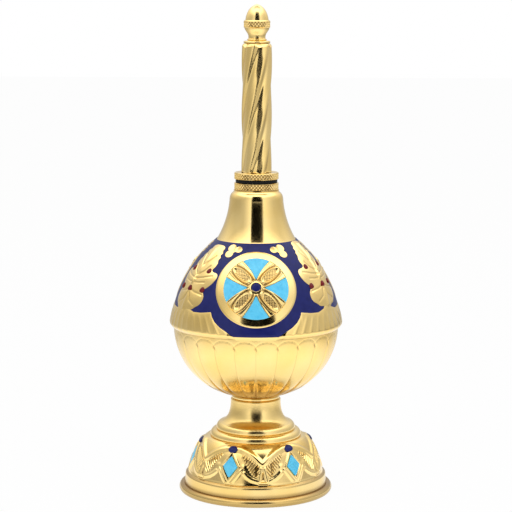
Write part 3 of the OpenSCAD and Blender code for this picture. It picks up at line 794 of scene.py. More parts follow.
STEM_TOP_R = 10.8
STEM_EDGE = 0.25
WAIST_R = 14.9
WAIST_PULLS = ((0.02, 0.62), (0.34, 0.88))
UPPER_RING_R = 17.1
LOWER_RING_H = 2.9
UPPER_RING_H = 3.2
STEM_BORE_R = 8.2
SPIGOT_R = 12.0
SPIGOT_Z = DOME_TOP - 1.8
PLATE_Z = RING_Z - 2.5
STUD_HOLE_R = 3.2
# A ring's quarter-round: its reach, foot and rise in shares of its height, its start and its lower edge
OVOLO_REACH, OVOLO_FOOT, OVOLO_RISE = 0.7, 0.14, 0.84
OVOLO_START = 0.14
OVOLO_EDGE = 0.3


def ovolo(radius, z, tall):
    """A ring's edge that falls outwards as a quarter-round to a small upright foot."""
    reach = OVOLO_REACH * tall
    edge = [(radius - reach + reach * sin(t), z + tall * (OVOLO_FOOT + OVOLO_RISE * cos(t)))
            for t in np.linspace(OVOLO_START, pi / 2, 14)]
    return edge + arc((radius - OVOLO_EDGE, z + OVOLO_EDGE), OVOLO_EDGE, 20, -90, 4)


lower_z = DOME_TOP + LOWER_RING_H
waist_z = lower_z + UPPER_RING_H
stem_outline = [(STUD_HOLE_R, RING_Z), (STEM_TOP_R - STEM_EDGE, RING_Z), (STEM_TOP_R, RING_Z - STEM_EDGE)]
stem_outline += swell((STEM_TOP_R, RING_Z - 0.4), (WAIST_R, waist_z), WAIST_PULLS, 30)
stem_outline += ovolo(UPPER_RING_R, lower_z, UPPER_RING_H)
stem_outline += ovolo(LOWER_RING_R, DOME_TOP, LOWER_RING_H)
stem_outline += [(SPIGOT_R, DOME_TOP), (SPIGOT_R, SPIGOT_Z), (STEM_BORE_R, SPIGOT_Z)]
stem_outline += [(STEM_BORE_R, PLATE_Z), (STUD_HOLE_R, PLATE_Z)]
dress(turned("turned_stem", stem_outline, 160, 50), TURNED, "vessel", "turned_gold", "stem")

half_h = (BOWL_Z - RING_Z) / 2
base_outline = [(STUD_HOLE_R, RING_Z)]
base_outline += arc((BASE_RING_R - half_h, RING_Z + half_h), half_h, -90, 90, 14)
base_outline += [(STUD_HOLE_R, BOWL_Z)]
dress(turned("under_ring", base_outline), POLISHED, "vessel", "polished_gold", "base_ring")

# Lower bowl

LOWER_FLAT_R = 9.7
LOWER_RIM_R = 35.5
BOWL_WALL = 1.35
FLOOR_Z = BOWL_Z + BOWL_WALL
FLOOR_R = 8.0
GADROONS = 24
GADROON_TOP = 71.3
GADROON_SPRING = 68.0
GADROON_COLUMNS = 30
# The lobes swell and the grooves deepen from this height downwards
LOW_FROM, LOW_RUN = 60.0, 16.0
LOBE_SAG, LOBE_SAG_LOW = 0.10, 0.36
GROOVE_W, GROOVE_W_LOW = 0.26, 0.10
GROOVE_CUT, GROOVE_CUT_LOW = 0.16, 0.12
ARCH_W, ARCH_CUT, ARCH_STEEP = 0.26, 0.09, 0.72
NICK_Z = 68.3
NICK_LEAN = 0.5
NICK_W, NICK_L, NICK_CUT = 0.46, 1.15, 0.34
# Darkening at the bowl's base, partly tarnish and partly a painted dark reflection: how deep and up to where;
# and tarnish in its lines
BASE_TARNISH_AND_REFLECTION = 0.86
BASE_TARNISH_AND_REFLECTION_Z = BOWL_Z + 7.0
GROOVE_TARNISH, ARCH_TARNISH = 0.60, 0.72


def gadroons(angle, r, z):
    """Flat convex lobes with arched tops, parted by fine grooves with a nick where two arches meet."""
    cell = 360 / GADROONS
    t = (angle % cell) / cell * 2 - 1
    half = pi * np.maximum(r, 1.0) / GADROONS
    arch = GADROON_SPRING + (GADROON_TOP - GADROON_SPRING) * dome(t * t)
    side = (1 - np.abs(t)) * half
    slope = 1 / np.sqrt(1 + (np.abs(t) / np.sqrt(np.clip(1.02 - t * t, 0.02, 1)) * ARCH_STEEP) ** 2)
    over = np.abs(z - arch) * slope
    low_down = ease((LOW_FROM - z) / LOW_RUN)
    groove = ease((GADROON_SPRING + 0.4 - z) / 0.5) * bump(side, GROOVE_W + GROOVE_W_LOW * low_down)
    arch_line = bump(over, ARCH_W) * ease((z - GADROON_SPRING + 0.5) / 0.6)
    beside = ((angle + cell / 2) % cell - cell / 2) * pi / 180 * r
    nick = bump(beside + NICK_LEAN * (z - NICK_Z), NICK_W) * bump(z - NICK_Z, NICK_L)
    lobe = np.where(z < arch, (LOBE_SAG + LOBE_SAG_LOW * low_down) * np.abs(t) ** 3, 0.0)
    lobe = lobe * ease((arch - z) / 4.0)
    fade = ease((z - BOWL_Z - 0.2) / 2.2)
    cut = np.maximum((GROOVE_CUT + GROOVE_CUT_LOW * low_down) * groove, ARCH_CUT * arch_line)
    cut = np.maximum(cut, NICK_CUT * nick)
    recess = np.maximum(np.maximum(GROOVE_TARNISH * groove, ARCH_TARNISH * arch_line), nick)
    # The base darkens towards the foot, partly tarnish and partly a painted dark reflection
    tarnish_and_reflection = BASE_TARNISH_AND_REFLECTION * ease((BASE_TARNISH_AND_REFLECTION_Z - z) / 2.6)
    return -(lobe + cut) * fade, np.maximum(recess * fade, tarnish_and_reflection)


lower_c = arc_centre((LOWER_FLAT_R, BOWL_Z), (LOWER_RIM_R, RIM_Z), LOWER_CURVE)
lower_path = arc_to((LOWER_FLAT_R, BOWL_Z), (LOWER_RIM_R, RIM_Z), lower_c, 96)
bowl_outer = [(STUD_HOLE_R, BOWL_Z)] + lower_path
bowl_inner = [p for p in inside_of(lower_path[::12], BOWL_WALL) if p[1] > FLOOR_Z]
bowl_inner += [(FLOOR_R, FLOOR_Z), (STUD_HOLE_R, FLOOR_Z)]
dress(wrapped("gadrooned_bowl", bowl_outer, bowl_inner, GADROONS * GADROON_COLUMNS, gadroons),
      SATIN, "vessel", "turned_gold", "bowl_lower")

# Upper bowl and neck

NECK_CROWN = 4.2
CROWN_UP = NECK_CROWN - 0.7
COVE_R = 9.7
COVE = ((0.05, 0.66), (-0.08, 0.5), (-0.06, 0.36), (0.1, 0.2), (0.04, 0.06), (-0.2, 0))
SLEEVE_HOLE_R = 8.45
LIP_IN_R = 35.6
# The lip under the belly, from the seam upwards
BELLY_LIP = [(35.55, LIP_Z), (35.7, LIP_Z + 0.05), (36.1, LIP_Z + 0.6), (36.4, LIP_Z + 1.3),
             (BELLY_R - 0.03, BELLY_Z - 0.5), (BELLY_R, BELLY_Z)]

shoulder_path = arc_to((BELLY_R, BELLY_Z), (EDGE_R, EDGE_Z), SHOULDER_C, 48)
neck_path = arc_to((EDGE_R, EDGE_Z), (NECK_R, NECK_TOP), NECK_C, 30)
neck_side = [p for p in neck_path[1:] if p[1] < NECK_Z - NECK_CROWN]
crown_r, crown_z = neck_side[-1]
upper_outline = BELLY_LIP[:-1] + shoulder_path + neck_side
upper_outline += [(COVE_R + (crown_r - COVE_R) * cos(t), crown_z + CROWN_UP * sin(t))
                  for t in np.linspace(0.1, 1.36, 14)]
upper_outline += [(COVE_R + x, NECK_Z - y) for x, y in COVE]
upper_outline += [(SLEEVE_HOLE_R, NECK_Z), (SLEEVE_HOLE_R, NECK_Z - SHEET)]
upper_outline += inside_of(neck_path[::3], SHEET)[1:]
upper_outline += inside_of(shoulder_path[::4], SHEET)[1:]
upper_outline += [(LIP_IN_R, BELLY_Z - 0.1)]
dress(turned("shoulder_and_neck", upper_outline, 240), POLISHED, "vessel", "polished_gold", "bowl_upper")

MEDALLIONS = (0, 120, 240)
LEAVES = (60, 180, 300)

# Navy ground of the shoulder

GROUND_LOW = BELLY_Z - 0.8
ground = [(BELLY_R - 0.12, GROUND_LOW)] + arc_to((BELLY_R, BELLY_Z), (EDGE_R, EDGE_Z), SHOULDER_C, 96)
enamel_outline = [(BELLY_R + 0.05, GROUND_LOW)] + inset(ground, -ENAMEL)[1:] + inside_of(ground, 0.1)
dress(turned("navy_ground", enamel_outline, 240), NAVY, "vessel", "navy_enamel", "shoulder_enamel")

# Medallions

MEDALLION_Z = 93.4
MEDALLION_R = 17.0
RING_IN = 13.4
# Height of the flat border, and the rounding of its rim
RING_UP = 0.60
RING_ROUND = 1.0
# Half width of an enamel cell at distances from the medallion's middle, and the slant of its sides
CELL_ALONG = (3.3, 4.4, 6.2, 7.8, 9.6, 11.2, 13.4)
CELL_ASIDE = (0.0, 0.45, 1.25, 2.15, 3.3, 4.5, 6.1)
CELL_SLANT = 0.84
CELL_UP = 0.54
TULIP = [(6.6, 0.0), (8.0, 0.9), (9.8, 1.4), (10.8, 2.6), (11.6, 4.4)]
TULIP_W, TULIP_UP = 0.26, 0.08
# Petals: height, raised edge beside the cells, and the hatched oval with the lines round it
PETAL_UP = 0.64
PETAL_EDGE_AT, PETAL_EDGE_W, PETAL_EDGE_UP = 0.35, 0.32, 0.22
OVAL_AT = 8.2
OVAL_L = 4.2
OVAL_W = 1.75
OVAL_SCALE = 1.9
OVAL_LINES = ((0.25, 0.46), (0.85, -0.26), (1.35, 0.22))
OVAL_LINE_W = 0.30
HATCH_PITCH = 0.95
HOLLOW_UP, HATCH_UP = 0.50, 0.06
SEAT_R = 2.5
SEAT_UP = 0.70
BUTTON_R = 1.85
BUTTON_UP, BUTTON_CROWN = 0.70, 0.22
# Enamel under gold lies this far below the shoulder's surface
HIDDEN = -0.1


def in_cell(x, y):
    """Distance from the medallion's middle, and a point's place along and beside the nearest cell."""
    turn = (np.arctan2(y, x) + pi / 4) % (pi / 2) - pi / 4
    out = np.hypot(x, y)
    return out, out * np.cos(turn), np.abs(out * np.sin(turn))


def cell_edge(x, y):
    """How far a point of the medallion's field lies outside the nearest enamel cell, below 0 in the cell."""
    _, along, aside = in_cell(x, y)
    return (aside - np.interp(along, CELL_ALONG, CELL_ASIDE, left=-2.0)) * CELL_SLANT


def medallion_height(x, y, inside):
    """A flat border, four petals with double edges and hatched hollows, and the button's seat."""
    out = np.hypot(x, y)
    brink = np.maximum(out - MEDALLION_R + RING_ROUND, 0) / RING_ROUND
    ring = RING_UP * dome(brink ** 2) * ease((out - RING_IN + 0.3) / 0.5)
    outside = cell_edge(x, y)
    turn = (np.arctan2(y, x) % (pi / 2)) - pi / 4
    along, aside = out * np.cos(turn) - OVAL_AT, out * np.sin(turn)
    oval = (np.hypot(along / OVAL_L, aside / OVAL_W) - 1) * OVAL_SCALE
    hatch = np.cos(tau * (along + aside) / HATCH_PITCH) + np.cos(tau * (along - aside) / HATCH_PITCH)
    petal = PETAL_UP + PETAL_EDGE_UP * bump(outside - PETAL_EDGE_AT, PETAL_EDGE_W)
    for at, tall in OVAL_LINES:
        petal = petal + tall * bump(oval - at, OVAL_LINE_W)
    hollow = ease(-oval / 0.45)
    petal = petal * (1 - hollow) + (HOLLOW_UP + HATCH_UP * hatch) * hollow
    petal = petal * ease((outside + 0.12) / 0.2)
    near = ease((SEAT_R + 0.9 - out) / 0.6)
    petal = petal * (1 - near) + SEAT_UP * near
    seat = 0.12 * bump(out - BUTTON_R - 0.3, 0.3)
    up = np.maximum(ring, np.where(out < RING_IN, petal + seat, 0.0))
    groove_at = OVAL_LINES[1][0]
    dark = np.maximum(hollow * ease((0.6 - 0.30 * hatch) / 0.9), 0.9 * bump(oval - groove_at, 0.34))
    dark = np.maximum(dark, 0.75 * bump(outside - 0.1, 0.25))
    recess = np.where((out < RING_IN - 0.2) & (out > SEAT_R), 0.15 + 0.85 * dark, 0.0)
    return np.where(inside <= 0, 0.0, up), np.where(outside > 0, recess, 0.0)


def cell_height(x, y, inside):
    """Sky enamel that fills the medallion's field, with a faint raised tulip line in each cell."""
    out, along, aside = in_cell(x, y)
    tulip = bump(away(along, aside, TULIP), TULIP_W)
    in_field = (cell_edge(x, y) < 0.4) & (out >= 3.6)
    return np.where(in_field, CELL_UP + TULIP_UP * tulip, HIDDEN), np.zeros(np.shape(x))


def button_height(x, y, inside):
    """A low dome."""
    return BUTTON_UP + BUTTON_CROWN * dome((x * x + y * y) / (BUTTON_R + 0.15) ** 2), np.zeros(np.shape(x))


rim = circle(MEDALLION_R, 288)
for k, turn in enumerate(MEDALLIONS):
    dress(boss(f"medallion_{k + 1}", turn, MEDALLION_Z, rim, medallion_height, 100),
          CHASED, "vessel", "polished_gold")

rim = circle(RING_IN + 0.35, 160)
cells = [boss("cells", t, MEDALLION_Z, rim, cell_height, 48, root=-HIDDEN) for t in MEDALLIONS]
dress(joined("medallion_sky", cells), SKY, "vessel", "sky_enamel", "medallion_enamel")

rim = circle(BUTTON_R + 0.05, 48)
buttons = [boss("button", t, MEDALLION_Z, rim, button_height, 10, root=0.0) for t in MEDALLIONS]
dress(joined("navy_buttons", buttons), NAVY, "vessel", "navy_enamel", "medallion_buttons")

# Leaves

LEAF_Z = 96.0
# Each leaf is placed as listed: degrees round the axis, drop and sideways lean
LEAF_SET = ((63.0, -0.4, 0.06), (180.0, 0.6, 0.0), (301.8, 1.2, 0.12))
LEAF_HALF = [(0, 17.6), (2.2, 17.5), (3.8, 16.7), (4.1, 15.2), (5.0, 14.2), (5.0, 12.9), (5.9, 11.8),
             (5.9, 10.5), (6.8, 9.1), (7.0, 7.4), (6.7, 5.6), (7.8, 4.9), (10.2, 4.6), (11.2, 3.0),
             (11.0, 0.8), (10.2, -1.2), (9.0, -2.8), (7.9, -4.1), (9.1, -5.2), (10.1, -6.6), (10.2, -8.4),
             (9.4, -10.2), (7.6, -11.6), (6.0, -12.9), (3.4, -13.6), (1.5, -14.8)]
MIDRIB = [(0.0, 15.6), (0.5, 10.0), (0.3, 4.0), (-0.3, -1.5)]
STALK = [(0.0, -4.6), (0.4, -8.0), (0.0, -13.5)]
VEINS = [[(0.4, 6.5), (2.2, 9.4), (3.4, 12.0)], [(0.3, 2.0), (3.0, 4.0), (4.6, 7.0)],
         [(0.2, 0.2), (4.6, 1.2), (9.0, 3.0)], [(0.0, -1.6), (3.4, -1.4), (7.0, -0.6)],
         [(0.8, -5.0), (4.0, -5.8), (8.6, -6.0)], [(0.6, -6.0), (2.4, -9.4), (6.2, -11.0)]]
LEAF_UP, PILLOW_UP, PILLOW_RUN = 0.42, 0.55, 2.2
VEIN_W, VEIN_CUT = 0.34, 0.24
RIB_W, MIDRIB_UP = 0.55, 0.44
PEAR_W, PEAR_L, PEAR_Y, PEAR_UP = 1.25, 2.6, -0.6, 0.4
STALK_W, STALK_UP = 0.8, 0.3
# Height of the upright edge round leaves and trefoils
BRINK_UP = 0.12


def leaf_height(x, y, inside):
    """A lobed leaf: pillowed blades, a raised midrib that swells at its foot, and cut veins."""
    up = LEAF_UP + PILLOW_UP * (1 - np.exp(-inside / PILLOW_RUN))
    veins = np.max([bump(away(np.abs(x), y, vein), VEIN_W) for vein in VEINS], axis=0)
    rib = bump(away(x, y, MIDRIB), RIB_W)
    pear = ease(1 - np.hypot(x / PEAR_W, (y - PEAR_Y) / PEAR_L))
    stalk = bump(away(x, y, STALK), STALK_W)
    up = up - VEIN_CUT * veins + MIDRIB_UP * rib + PEAR_UP * pear + STALK_UP * stalk
    return np.where(inside <= 0, BRINK_UP, up), 0.6 * veins


leaf_outline = flowing(mirrored(LEAF_HALF), 5)
for k, (turn, drop, lean) in enumerate(LEAF_SET):
    dress(boss(f"leaf_{k + 1}", turn, LEAF_Z - drop, leaf_outline, leaf_height, 44, lean=lean),
          POLISHED, "vessel", "polished_gold")

# Where the berries lie on a leaf, and how high
BERRIES = [(5.7, 4.8, 0.8), (7.8, -3.8, 0.8), (-5.7, 4.8, 0.8), (-7.8, -3.8, 0.8), (0.0, -4.4, 1.25)]
BERRY_W = 1.05
BERRY_L = 1.25
BERRY_TAPER = 0.25
BERRY_UP = 0.45


def berry(turn, drop, lean, x, y, rise):
    """An enamel drop on a leaf."""
    def height(px, py, inside):
        return rise + BERRY_UP * np.sqrt(np.clip(inside / BERRY_W, 0, 1)), np.zeros(np.shape(px))

    outline = [(x + BERRY_W * (1 - BERRY_TAPER * sin(t)) * cos(t), y + BERRY_L * sin(t))
               for t in round_turns(24)]
    return boss("berry", turn, LEAF_Z - drop, outline, height, 6, centre=(x, y), root=0.0, lean=lean)


berries = [berry(*leaf, *at) for leaf in LEAF_SET for at in BERRIES]
dress(joined("red_berries", berries), RED, "vessel", "red_enamel", "leaf_berries")

# Panels under the leaves

# The panels' top edge: degrees from the middle, and height
PANEL_EDGE = [(0, 85.5), (2.7, 84.6), (5.4, 83.1), (12.0, 82.0), (19.3, 82.2), (27.5, 82.9), (28.9, 81.0),
              (31.5, 79.0), (35.7, 77.0), (41.4, 75.1), (45.0, 73.6), (46.5, 72.0)]
PANEL_HALF = PANEL_EDGE[-1][0]
PANEL_LOW = LIP_Z + 0.1
PANEL_T = 0.6
PANEL_COLUMNS = 260
PANEL_ROWS = 30
EDGE_STEP = 0.3
# The ribs spread like a fan from a point at this height
FAN_Z = 115.0
FAN_PITCH = 0.098
FAN_TOP = 82.0
FAN_SHARP = 3.7
FAN_RIB_UP = 0.18
SEAM_TARNISH = 0.75


def panel(name, turn):
    """A gold field under a leaf: a thin sheet up to its drawn edge, with soft ribs that spread like a fan."""
    rows = PANEL_ROWS + 3
    turns, heights = zip(*PANEL_EDGE)
    lip_radii, lip_heights = zip(*BELLY_LIP)

    def edge_at(aside):
        return np.maximum(np.interp(np.abs(aside), turns, heights), PANEL_LOW)

    def place(u, v):
        k = np.rint(v * rows).astype(int)
        aside = (2 * u - 1) * PANEL_HALF
        top = edge_at(aside)
        climb = edge_at(aside + EDGE_STEP) - edge_at(aside - EDGE_STEP)
        slope = climb / (radians(2 * EDGE_STEP) * BELLY_R)
        face = np.where(k == rows, 0.0, np.clip((k - 1) / PANEL_ROWS, 0, 1))
        z = PANEL_LOW + face * (top - PANEL_LOW)
        inside = (top - z) / np.sqrt(1 + slope ** 2)
        fan = np.radians(aside) * BELLY_R / (FAN_Z - z) / FAN_PITCH
        rib = bump((fan % 1 - 0.5) * FAN_SHARP, 0.75) * ease(inside / 1.6) * ease((FAN_TOP - z) / 2.5)
        up = PANEL_T * (0.62 + 0.38 * (1 - np.exp(-inside / 0.6))) + FAN_RIB_UP * rib
        up = up * ease((z - PANEL_LOW) / 2.0) * ease((PANEL_HALF - np.abs(aside)) / 3.5)
        up = np.where((k == 0) | (k > PANEL_ROWS + 1), -ROOT, up)
        on_lip, on_shoulder = np.interp(z, lip_heights, lip_radii), shoulder_r(np.maximum(z, BELLY_Z))
        r = np.where(z < BELLY_Z, on_lip, on_shoulder)
        lean = shoulder_lean(z)
        r, z = r + up * np.cos(lean), z + up * np.sin(lean)
        return around(r, np.radians(turn + aside), z), SEAM_TARNISH * ease(PANEL_LOW + 1.1 - z)

    return grid(name, PANEL_COLUMNS, rows, place, crease=45)


for k, turn in enumerate(LEAVES):
    dress(panel(f"panel_{k + 1}", turn), POLISHED, "vessel", "polished_gold")

# Trefoils

TREFOIL_Z = 107.0
TREFOIL_TURN = 28.2
TREFOIL_UP, TREFOIL_CROWN = 0.40, 0.10
# Middle and lobes of the right trefoil: place and radius
LOBES = ((0.0, 0.0, 1.1), (-2.3, 0.9, 1.6), (0.9, 1.5, 1.9), (1.3, -1.7, 1.8))


def trefoil(turn, side):
    """Three overlapping lobes, mirrored on the left side of a medallion."""
    lobes = [(side * x, y, r) for x, y, r in LOBES]

    def reach(t):
        """How far the lobes reach from their middle in one direction."""
        far = 0.0
        for x, y, r in lobes:
            along = x * cos(t) + y * sin(t)
            off = x * x + y * y - along * along
            if r * r > off:
                far = max(far, along + sqrt(r * r - off))
        return far

    def height(x, y, inside):
        domes = np.max([dome(((x - lx) ** 2 + (y - ly) ** 2) / (r * r)) for lx, ly, r in lobes], axis=0)
        return np.where(inside <= 0, BRINK_UP, TREFOIL_UP + TREFOIL_CROWN * domes), np.zeros(np.shape(x))

    outline = [(reach(t) * cos(t), reach(t) * sin(t)) for t in round_turns(120)]
    return boss("trefoil", turn + side * TREFOIL_TURN, TREFOIL_Z, outline, height, 14)


trefoils = [trefoil(t, side) for t in MEDALLIONS for side in (-1, 1)]
dress(joined("trefoils", trefoils), POLISHED, "vessel", "polished_gold")

# Screwed neck

KNURL_PITCH = 1.5
KNURL_DEPTH = 0.4
KNURL_SHARP = 1.6
KNURL_COLUMNS = 8
KNURL_EDGE, KNURL_RUN = 0.22, 0.16
# Bevels of the knurled rings: height, and how far their soldered and free edges draw in
BEVEL = 0.14
SOLDERED_IN, FREE_IN, TOP_IN = 0.45, 0.25, 0.4
SCREW_BORE_R = 7.0
BORE_BEVEL = 0.4
SLEEVE_R = 8.4
SEAL_ROUND = 0.4


def knurl(count, low_z, high_z):
    """Relief of crossed grooves between two heights, with plain edges."""
    def relief(angle, r, z):
        turn = angle / 360 * count
        climb = (z - low_z) / KNURL_PITCH
        cuts = [(np.abs((turn + side * climb) % 1 - 0.5) * 2) ** KNURL_SHARP for side in (-1, 1)]
        band = ease((z - low_z - KNURL_EDGE) / KNURL_RUN) * ease((high_z - KNURL_EDGE - z) / KNURL_RUN)
        groove = np.maximum(*cuts) * band
        return -KNURL_DEPTH * groove, groove
    return relief


knurls = round(tau * COLLAR_R / KNURL_PITCH)
collar_outer = [(COLLAR_R - SOLDERED_IN, NECK_Z)]
collar_outer += upright(COLLAR_R, NECK_Z + BEVEL, COLLAR_Z - BEVEL, 24)
collar_outer += [(COLLAR_R - FREE_IN, COLLAR_Z)]
collar_inner = [(SCREW_BORE_R + BORE_BEVEL, COLLAR_Z), (SCREW_BORE_R, COLLAR_Z - BORE_BEVEL)]
collar_inner += [(SCREW_BORE_R, SLEEVE_Z), (SLEEVE_R, SLEEVE_Z), (SLEEVE_R, NECK_Z)]
collar_relief = knurl(knurls, NECK_Z, COLLAR_Z)
dress(wrapped("knurled_collar", collar_outer, collar_inner, knurls * KNURL_COLUMNS, collar_relief, crease=25),
      KNURLED, "vessel", "polished_gold", "neck_collar")

seal_outline = rounded([(SCREW_BORE_R, COLLAR_Z), (SEAL_R, COLLAR_Z, SEAL_ROUND),
                        (SEAL_R, FLANGE_Z, SEAL_ROUND), (SCREW_BORE_R, FLANGE_Z)])
dress(turned("rubber_ring", seal_outline), RUBBER, "seal_ring", "black_rubber", "neck_seal")

SCREW_R = 6.95
CORE_R = SCREW_R - 0.4
WATER_R = 3.9
PILOT_R = 4.55
PILOT_Z = TUBE_Z + 4.0
THREAD_PITCH = 1.5
THREAD_Z = SCREW_Z + 0.4
THREAD_DEPTH = 0.55
# Where a thread's crest starts and ends above its root
THREAD_CREST = (0.65, 0.85)

flange_outer = [(COLLAR_R - FREE_IN, FLANGE_Z)] + upright(COLLAR_R, FLANGE_Z + BEVEL, TUBE_Z - 0.35, 22)
flange_outer += [(COLLAR_R - 0.12, TUBE_Z - BEVEL), (COLLAR_R - TOP_IN, TUBE_Z)]
flange_inner = [(TUBE_R + 0.4, TUBE_Z + 0.01), (PILOT_R, TUBE_Z), (PILOT_R, PILOT_Z), (WATER_R, PILOT_Z)]
flange_inner += [(WATER_R, SCREW_Z), (SCREW_R - 0.5, SCREW_Z)]
for k in range(int((COLLAR_Z - SCREW_Z) / THREAD_PITCH)):
    root_z = THREAD_Z + k * THREAD_PITCH
    flange_inner += [(SCREW_R - THREAD_DEPTH, root_z)] + [(SCREW_R, root_z + up) for up in THREAD_CREST]
flange_inner += [(CORE_R, FLANGE_Z - 1.0), (CORE_R, FLANGE_Z)]
flange_relief = knurl(knurls, FLANGE_Z, TUBE_Z)
dress(wrapped("knurled_flange", flange_outer, flange_inner, knurls * KNURL_COLUMNS, flange_relief, crease=25),
      KNURLED, "spout", "polished_gold", "spout_flange")

# Twisted spout

STRANDS = 6
STRAND_COLUMNS = 48
TWIST = 145.0
STRAND_TURN = 20.0
# How far each strand leans to one side, how deep the hollows are and how narrow
STEEP = -0.62
HOLLOW = 0.74
HOLLOW_SHARP = 1.25
TUBE_BORE_R = 4.6
# The rounded upper end, and the shallower hollows at the flange
END_H = 1.5
END_IN = 0.9
FOOT_FILL = 0.55
FOOT_RUN = 0.5
tube_l = TIP_Z - TUBE_Z


def tube_relief(angle, r, z):
    """Six broad strands that wind to the right with narrow hollows between, rounded off under the tip."""
    t = np.radians((angle - STRAND_TURN - TWIST * (z - TUBE_Z) / tube_l) * STRANDS)
    t = t + STEEP * np.cos(t)
    hollow = ((1 - np.cos(t)) / 2) ** HOLLOW_SHARP
    end = np.clip(1 - (TIP_Z - z) / END_H, 0, 1)
    foot = np.exp(-(z - TUBE_Z) / FOOT_RUN)
    height = -HOLLOW * hollow * (1 - FOOT_FILL * foot) - END_IN * (1 - np.sqrt(1 - end * end))
    return height, np.zeros(np.shape(z))


tube_outer = upright(TUBE_R, TUBE_Z, TIP_Z - END_H - 0.1, 128) + upright(TUBE_R, TIP_Z - END_H, TIP_Z, 14)
tube_inner = [(TUBE_BORE_R, TIP_Z), (TUBE_BORE_R, TUBE_Z)]
dress(wrapped("twisted_tube", tube_outer, tube_inner, STRANDS * STRAND_COLUMNS, tube_relief),
      SATIN, "spout", "polished_gold", "spout_tube")

NIPPLE_R = 2.5
NIPPLE_ROOT_R = NIPPLE_R - 0.3
NIPPLE_PITCH = 0.8
NIPPLE_CREST = (0.35, 0.45)
PLUG_R = 4.55
TIP_BORE_R = 1.6
TIP_ROUND = 0.55
SPRAY_R = 0.35
SPRAY_Z = NIPPLE_TOP - 1.2

tip_outline = [(TIP_BORE_R, PLUG_Z), (PLUG_R, PLUG_Z), (PLUG_R, TIP_Z)]
tip_outline += arc((TIP_R - TIP_ROUND, TIP_Z + TIP_ROUND), TIP_ROUND, -90, 90, 8)
tip_outline += [(NIPPLE_ROOT_R, CAP_Z)]
root_z = CAP_Z + 0.2
while root_z < NIPPLE_TOP - 0.9:
    tip_outline += [(NIPPLE_ROOT_R, root_z)] + [(NIPPLE_R, root_z + up) for up in NIPPLE_CREST]
    root_z += NIPPLE_PITCH
tip_outline += [(NIPPLE_R - 0.25, NIPPLE_TOP - 0.1), (NIPPLE_R - 0.4, NIPPLE_TOP), (SPRAY_R, NIPPLE_TOP)]
tip_outline += [(SPRAY_R, SPRAY_Z), (TIP_BORE_R, SPRAY_Z)]
dress(turned("pierced_tip", tip_outline, 96), POLISHED, "spout", "polished_gold", "spout_tip")

# Acorn cap

BAND_LOW = CAP_Z + 5.5
BAND_HIGH = BAND_LOW + 2.8
NUT_R = BAND_R - KNURL_DEPTH - 0.1
CAP_BORE_R = 2.55
CAP_BORE_TOP = CAP_Z + 5.9
# The bead at the cap's foot, the hollow above it, the cup under the band and the nut on top
BEAD_FOOT_R = 3.9
BEAD_C = (3.75, CAP_Z + 0.45)
BEAD_R = 0.42
HOLLOW_LOW, HOLLOW_HIGH = (3.72, CAP_Z + 0.92), (3.62, CAP_Z + 1.6)
HOLLOW_PULLS = ((0.9, 0.3), (1.0, 0.7))
CUP_START, CUP_END = (3.66, CAP_Z + 2.0), (BAND_R - 0.32, BAND_LOW - 0.12)
CUP_PULLS = ((0.04, 0.34), (0.88, 0.66))
NUT_PULLS = ((0.04, 0.3), (0.24, 0.86))

acorn_outer = [(BEAD_FOOT_R, CAP_Z)] + arc(BEAD_C, BEAD_R, -60, 80, 7)
acorn_outer += swell(HOLLOW_LOW, HOLLOW_HIGH, HOLLOW_PULLS, 4)
acorn_outer += swell(CUP_START, CUP_END, CUP_PULLS, 18)
acorn_outer += upright(BAND_R, BAND_LOW + 0.1, BAND_HIGH - 0.1, 24)
acorn_outer += arc((NUT_R + 0.05, BAND_HIGH + 0.12), 0.26, 10, 120, 5)
acorn_outer += swell((NUT_R - 0.2, BAND_HIGH + 0.3), (0.0, CAP_TOP), NUT_PULLS, 44)
acorn_inner = [(0.0, CAP_BORE_TOP), (CAP_BORE_R, CAP_BORE_TOP), (CAP_BORE_R, CAP_Z)]
acorn_knurls = round(tau * BAND_R / KNURL_PITCH)
acorn_relief = knurl(acorn_knurls, BAND_LOW, BAND_HIGH)
dress(wrapped("acorn", acorn_outer, acorn_inner, acorn_knurls * KNURL_COLUMNS, acorn_relief, crease=28),
      KNURLED, "cap", "polished_gold", "acorn_cap")

# Solids that stay as they are, with finishes

for node, material in (("tie_stud", STEEL), ("tie_washer", STEEL), ("tie_nut", STEEL), ("cap_seal", RUBBER)):
    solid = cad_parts[node]
    solid.data.materials.clear()
    solid.data.materials.append(material)

# Camera and lamps

CAMERA_AT = (-0.0001, -0.8, 0.215)
CAMERA_TURN = (82.0, -0.19, 0.026)
LENS = 132.05
SENSOR = 36.0
AIM = (0, 0, 0.1)

scene = bpy.context.scene
scene.view_settings.view_transform = "Standard"

deselect()
bpy.ops.object.camera_add(location=CAMERA_AT, rotation=[radians(turn) for turn in CAMERA_TURN])
camera = bpy.context.object
camera.data.lens = LENS
camera.data.sensor_width = SENSOR
scene.camera = camera


def softbox(name, place, wide_by, tall, watts):
    """A soft rectangular lamp that faces the object, unseen in reflections."""
    bpy.ops.object.light_add(type="AREA", location=place)
    lamp = bpy.context.object
    lamp.name = name
    lamp.data.shape = "RECTANGLE"
    lamp.data.size, lamp.data.size_y = wide_by, tall
    lamp.data.energy = watts
    lamp.visible_glossy = False
    way = [a - b for a, b in zip(AIM, place)]
    lamp.rotation_euler = (atan2(hypot(way[0], way[1]), -way[2]), 0, atan2(way[1], way[0]) - pi / 2)


softbox("left_box", (-0.75, -0.75, 0.45), 0.55, 0.9, watts=3.6)
softbox("right_box", (0.8, -0.6, 0.4), 0.5, 0.9, watts=3.2)
softbox("top_box", (0, -0.1, 1.0), 0.9, 0.9, watts=3.0)

# Screen, ceiling and floor card that the gold mirrors

GLOW = 2.4
SCREEN_R = 1.3
SCREEN_H = 2.8
